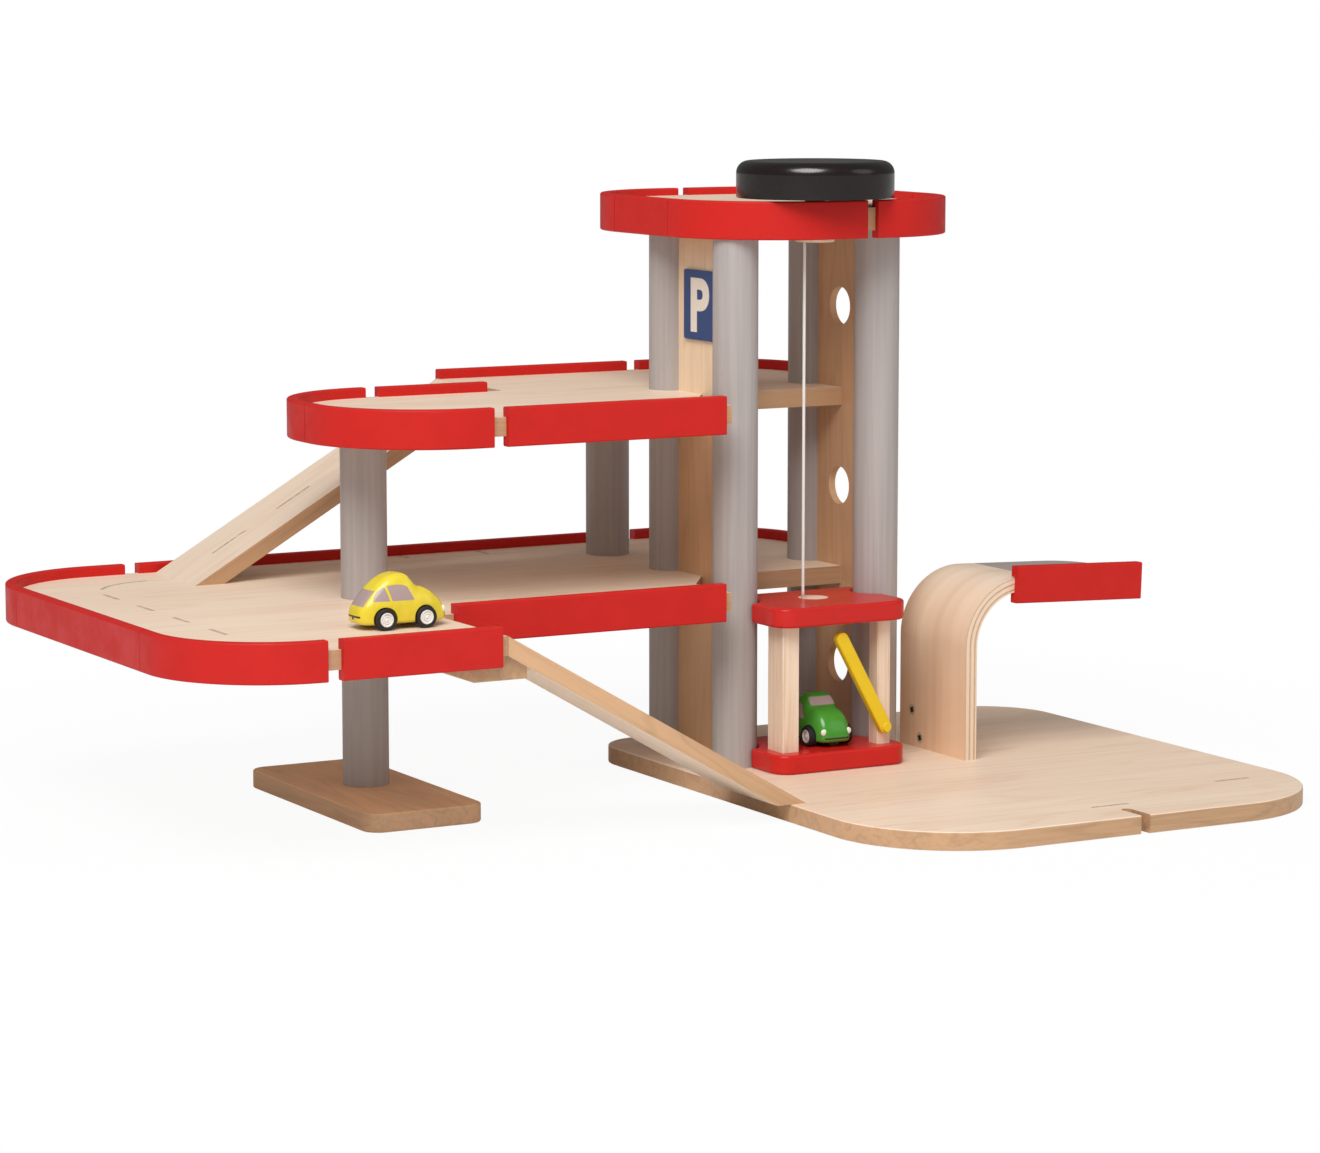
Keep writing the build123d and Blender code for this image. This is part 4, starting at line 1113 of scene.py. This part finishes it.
        sideways = finish.normal()[1 if abs(seat.to_euler().z) < 0.1 else 0]
        facing = finish.ramp(finish.maths("ABSOLUTE", sideways), 0.34, 0.46)
        lean = finish.total(x, finish.product(z, 0.28))
        pillar = finish.less(1.0, within(lean, -5.2, -3.6, 0.25))
        raked = finish.total(x, finish.product(z, 0.53))
        front, back = finish.ramp(x, 22.0, 23.0), finish.ramp(x, -22.0, -23.0)
        middle_band = finish.ramp(flank, 8.8, 8.0)
        side = finish.product(dome(-5.5, 17.4, 14.6, 9.9), within(z, 17.6, 40.0), pillar, facing,
                              finish.ramp(raked, 16.2, 15.4), finish.ramp(flank, 6.0, 7.0))
        fore = finish.product(within(z, 26.2, 31.4), finish.ramp(x, 4.0, 5.0), finish.ramp(flank, 9.4, 8.6))
        aft = finish.product(within(z, 14.6, 24.0), finish.ramp(x, -16.0, -17.0), middle_band)
        glass = finish.most(side, fore, aft)
        # Painted shade: the slots across the nose and tail and the tail's notch are sunk and painted
        # near-black
        nose = finish.product(within(z, 5.6, 6.7, 0.2), front, finish.ramp(flank, 9.6, 8.8))
        tail = finish.product(within(z, 7.6, 8.8, 0.2), back, middle_band)
        notch = finish.product(within(z, 6.2, 8.4, 0.2), back, finish.ramp(flank, 1.6, 1.2))
        line = finish.most(nose, tail, notch)
        grain = finish.noise(finish.place, scale=120.0)
        coat = finish.mix(finish.ramp(grain, 0.3, 0.8, 0.0, 0.5), colour, shaded(colour, 0.80))
        coat = finish.mix(glass, coat, colours().window)
        # near-black painted shade in the slots
        coat = finish.mix(line, coat, (0.03, 0.02, 0.01))
        sunk = finish.product(finish.most(glass, line), -1.0)
        finish.bump(finish.total(sunk, finish.product(grain, 0.1)), 0.0004, 0.6)
        return finish.paint(coat)

    def lamps(self, name, seat, nose):
        """Two round headlamps set in the nose."""
        x, y, z = self.LAMP
        shape = bmesh.new()
        for side in (-1, 1):
            place = (Matrix.Translation((x + self.LAMP_SHARE * nose, side * y, z))
                     @ Matrix.Diagonal((self.LAMP_FLAT, 1.0, 1.0, 1.0)))
            bmesh.ops.create_uvsphere(shape, u_segments=24, v_segments=12, radius=self.LAMP_RADIUS,
                                      matrix=place)
        mesh = mesh_from(shape, name + "_lamps")
        mesh.transform(seat)
        shade_smooth(mesh, self.SHARP)
        glass = speckled(name + "_lamp_glass", 0.12, 1500.0, (0.86, 0.88, 0.70), (0.76, 0.80, 0.62),
                         detail=2.0, Coat_Weight=0.8)
        add_piece(name + "_lamps", mesh, [glass.material], name)

    def wheels(self, name, node, finishes):
        """Two wheels on an axle along Y, round the origin."""
        low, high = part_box(node)
        outer = (high.z - low.z) / 2
        track = max(high.x - low.x, high.y - low.y)
        width, hub_r = self.WHEEL_WIDTH, sizes().hub_radius
        face = width / 2 - self.HUB_SUNK
        rule = Rule("Wheel pair")
        rubber, plastic, metal = rule.inputs("Material", "Rubber", "Plastic", "Metal")
        ends, = rule.inputs("Vector", "Half track")
        radius, depth = rule.inputs("Float", "Carcass radius", "Carcass depth")
        path = rule.node("CurvePrimitiveCircle", Resolution=56, Radius=radius)
        profile = rule.node("CurvePrimitiveQuadrilateral", Width=depth, Height=width)
        profile = rule.node("FilletCurve", {"mode": "POLY"}, Curve=profile, Radius=self.TYRE_ROUND, Count=5)
        ring = rule.node("CurveToMesh", Curve=path, Profile_Curve=profile, Fill_Caps=False)
        disc = rule.node("MeshCylinder", Vertices=48, Radius=hub_r + self.INTO_TYRE, Depth=2 * face)
        lips = []
        for inside, thick in self.HUB_LIPS:
            lip_path = rule.node("CurvePrimitiveCircle", Resolution=48, Radius=hub_r - inside)
            lip_profile = rule.node("CurvePrimitiveCircle", Resolution=10, Radius=thick)
            lip = rule.node("CurveToMesh", Curve=lip_path, Profile_Curve=lip_profile)
            lips.append(rule.node("Transform", Geometry=lip, Translation=(0, 0, face)))
        cap = rule.node("MeshUVSphere", Segments=28, Rings=14, Radius=self.CAP)
        cap = rule.node("Transform", Geometry=cap, Translation=(0, 0, face), Scale=(1, 1, self.CAP_FLAT))
        span = track - 2 * width + self.INTO_HUBS
        shaft = rule.node("MeshCylinder", Vertices=24, Radius=self.AXLE, Depth=span)
        shaft = rule.node("Transform", Geometry=shaft, Rotation=(math.radians(90), 0, 0))
        opposite = rule.node("ShaderNodeVectorMath", {"operation": "SCALE"}, _0=ends, _3=-1.0)
        points = rule.line(ends, opposite, 2)
        flip = rule.total(rule.product(rule.node("InputIndex"), math.pi), -math.pi / 2)
        turn = rule.node("ShaderNodeCombineXYZ", X=flip)
        tyres = rule.finish(rule.instances(points, ring, turn), rubber)
        hubs = rule.finish(rule.instances(points, rule.join(disc, cap, *lips), turn), plastic)
        mesh = rule.make(name, rule.join(tyres, hubs, rule.finish(shaft, metal)),
                         {**finishes, "Half track": (0.0, track / 2 - width / 2, 0.0),
                          "Carcass radius": (outer + hub_r) / 2, "Carcass depth": outer - hub_r})
        shade_smooth(mesh, self.SHARP)
        return mesh


# ---------------------------------------------------------------- panel and run
OPERATORS = (
    GARAGE_OT_stage,
    GARAGE_OT_cord,
    GARAGE_OT_boards,
    GARAGE_OT_tower,
    GARAGE_OT_rims,
    GARAGE_OT_canopy,
    GARAGE_OT_screws,
    GARAGE_OT_marks,
    GARAGE_OT_sign,
    GARAGE_OT_winch,
    GARAGE_OT_barrier,
    GARAGE_OT_cars,
)


class GARAGE_PT_panel(bpy.types.Panel):
    """Lists the garage's steps, sizes, colours and stage"""

    bl_idname = "GARAGE_PT_panel"
    bl_label = "Parking garage"
    bl_space_type = "VIEW_3D"
    bl_region_type = "UI"
    bl_category = "Garage"

    def draw(self, context):
        for operator in OPERATORS:
            self.layout.operator(operator.bl_idname)
        for group in (context.scene.garage_sizes, context.scene.garage_colours, context.scene.garage_stage):
            box = self.layout.box()
            for name in group.__annotations__:
                box.prop(group, name)


CLASSES = (GarageColours, GarageSizes, GarageStage, *OPERATORS, GARAGE_PT_panel)


def register():
    for cls in CLASSES:
        bpy.utils.register_class(cls)
    bpy.types.Scene.garage_colours = PointerProperty(type=GarageColours)
    bpy.types.Scene.garage_sizes = PointerProperty(type=GarageSizes)
    bpy.types.Scene.garage_stage = PointerProperty(type=GarageStage)


def unregister():
    del bpy.types.Scene.garage_stage
    del bpy.types.Scene.garage_sizes
    del bpy.types.Scene.garage_colours
    for cls in reversed(CLASSES):
        bpy.utils.unregister_class(cls)


def main():
    register()
    for operator in OPERATORS:
        group, name = operator.bl_idname.split(".")
        getattr(getattr(bpy.ops, group), name)()


if __name__ == "__main__":
    main()
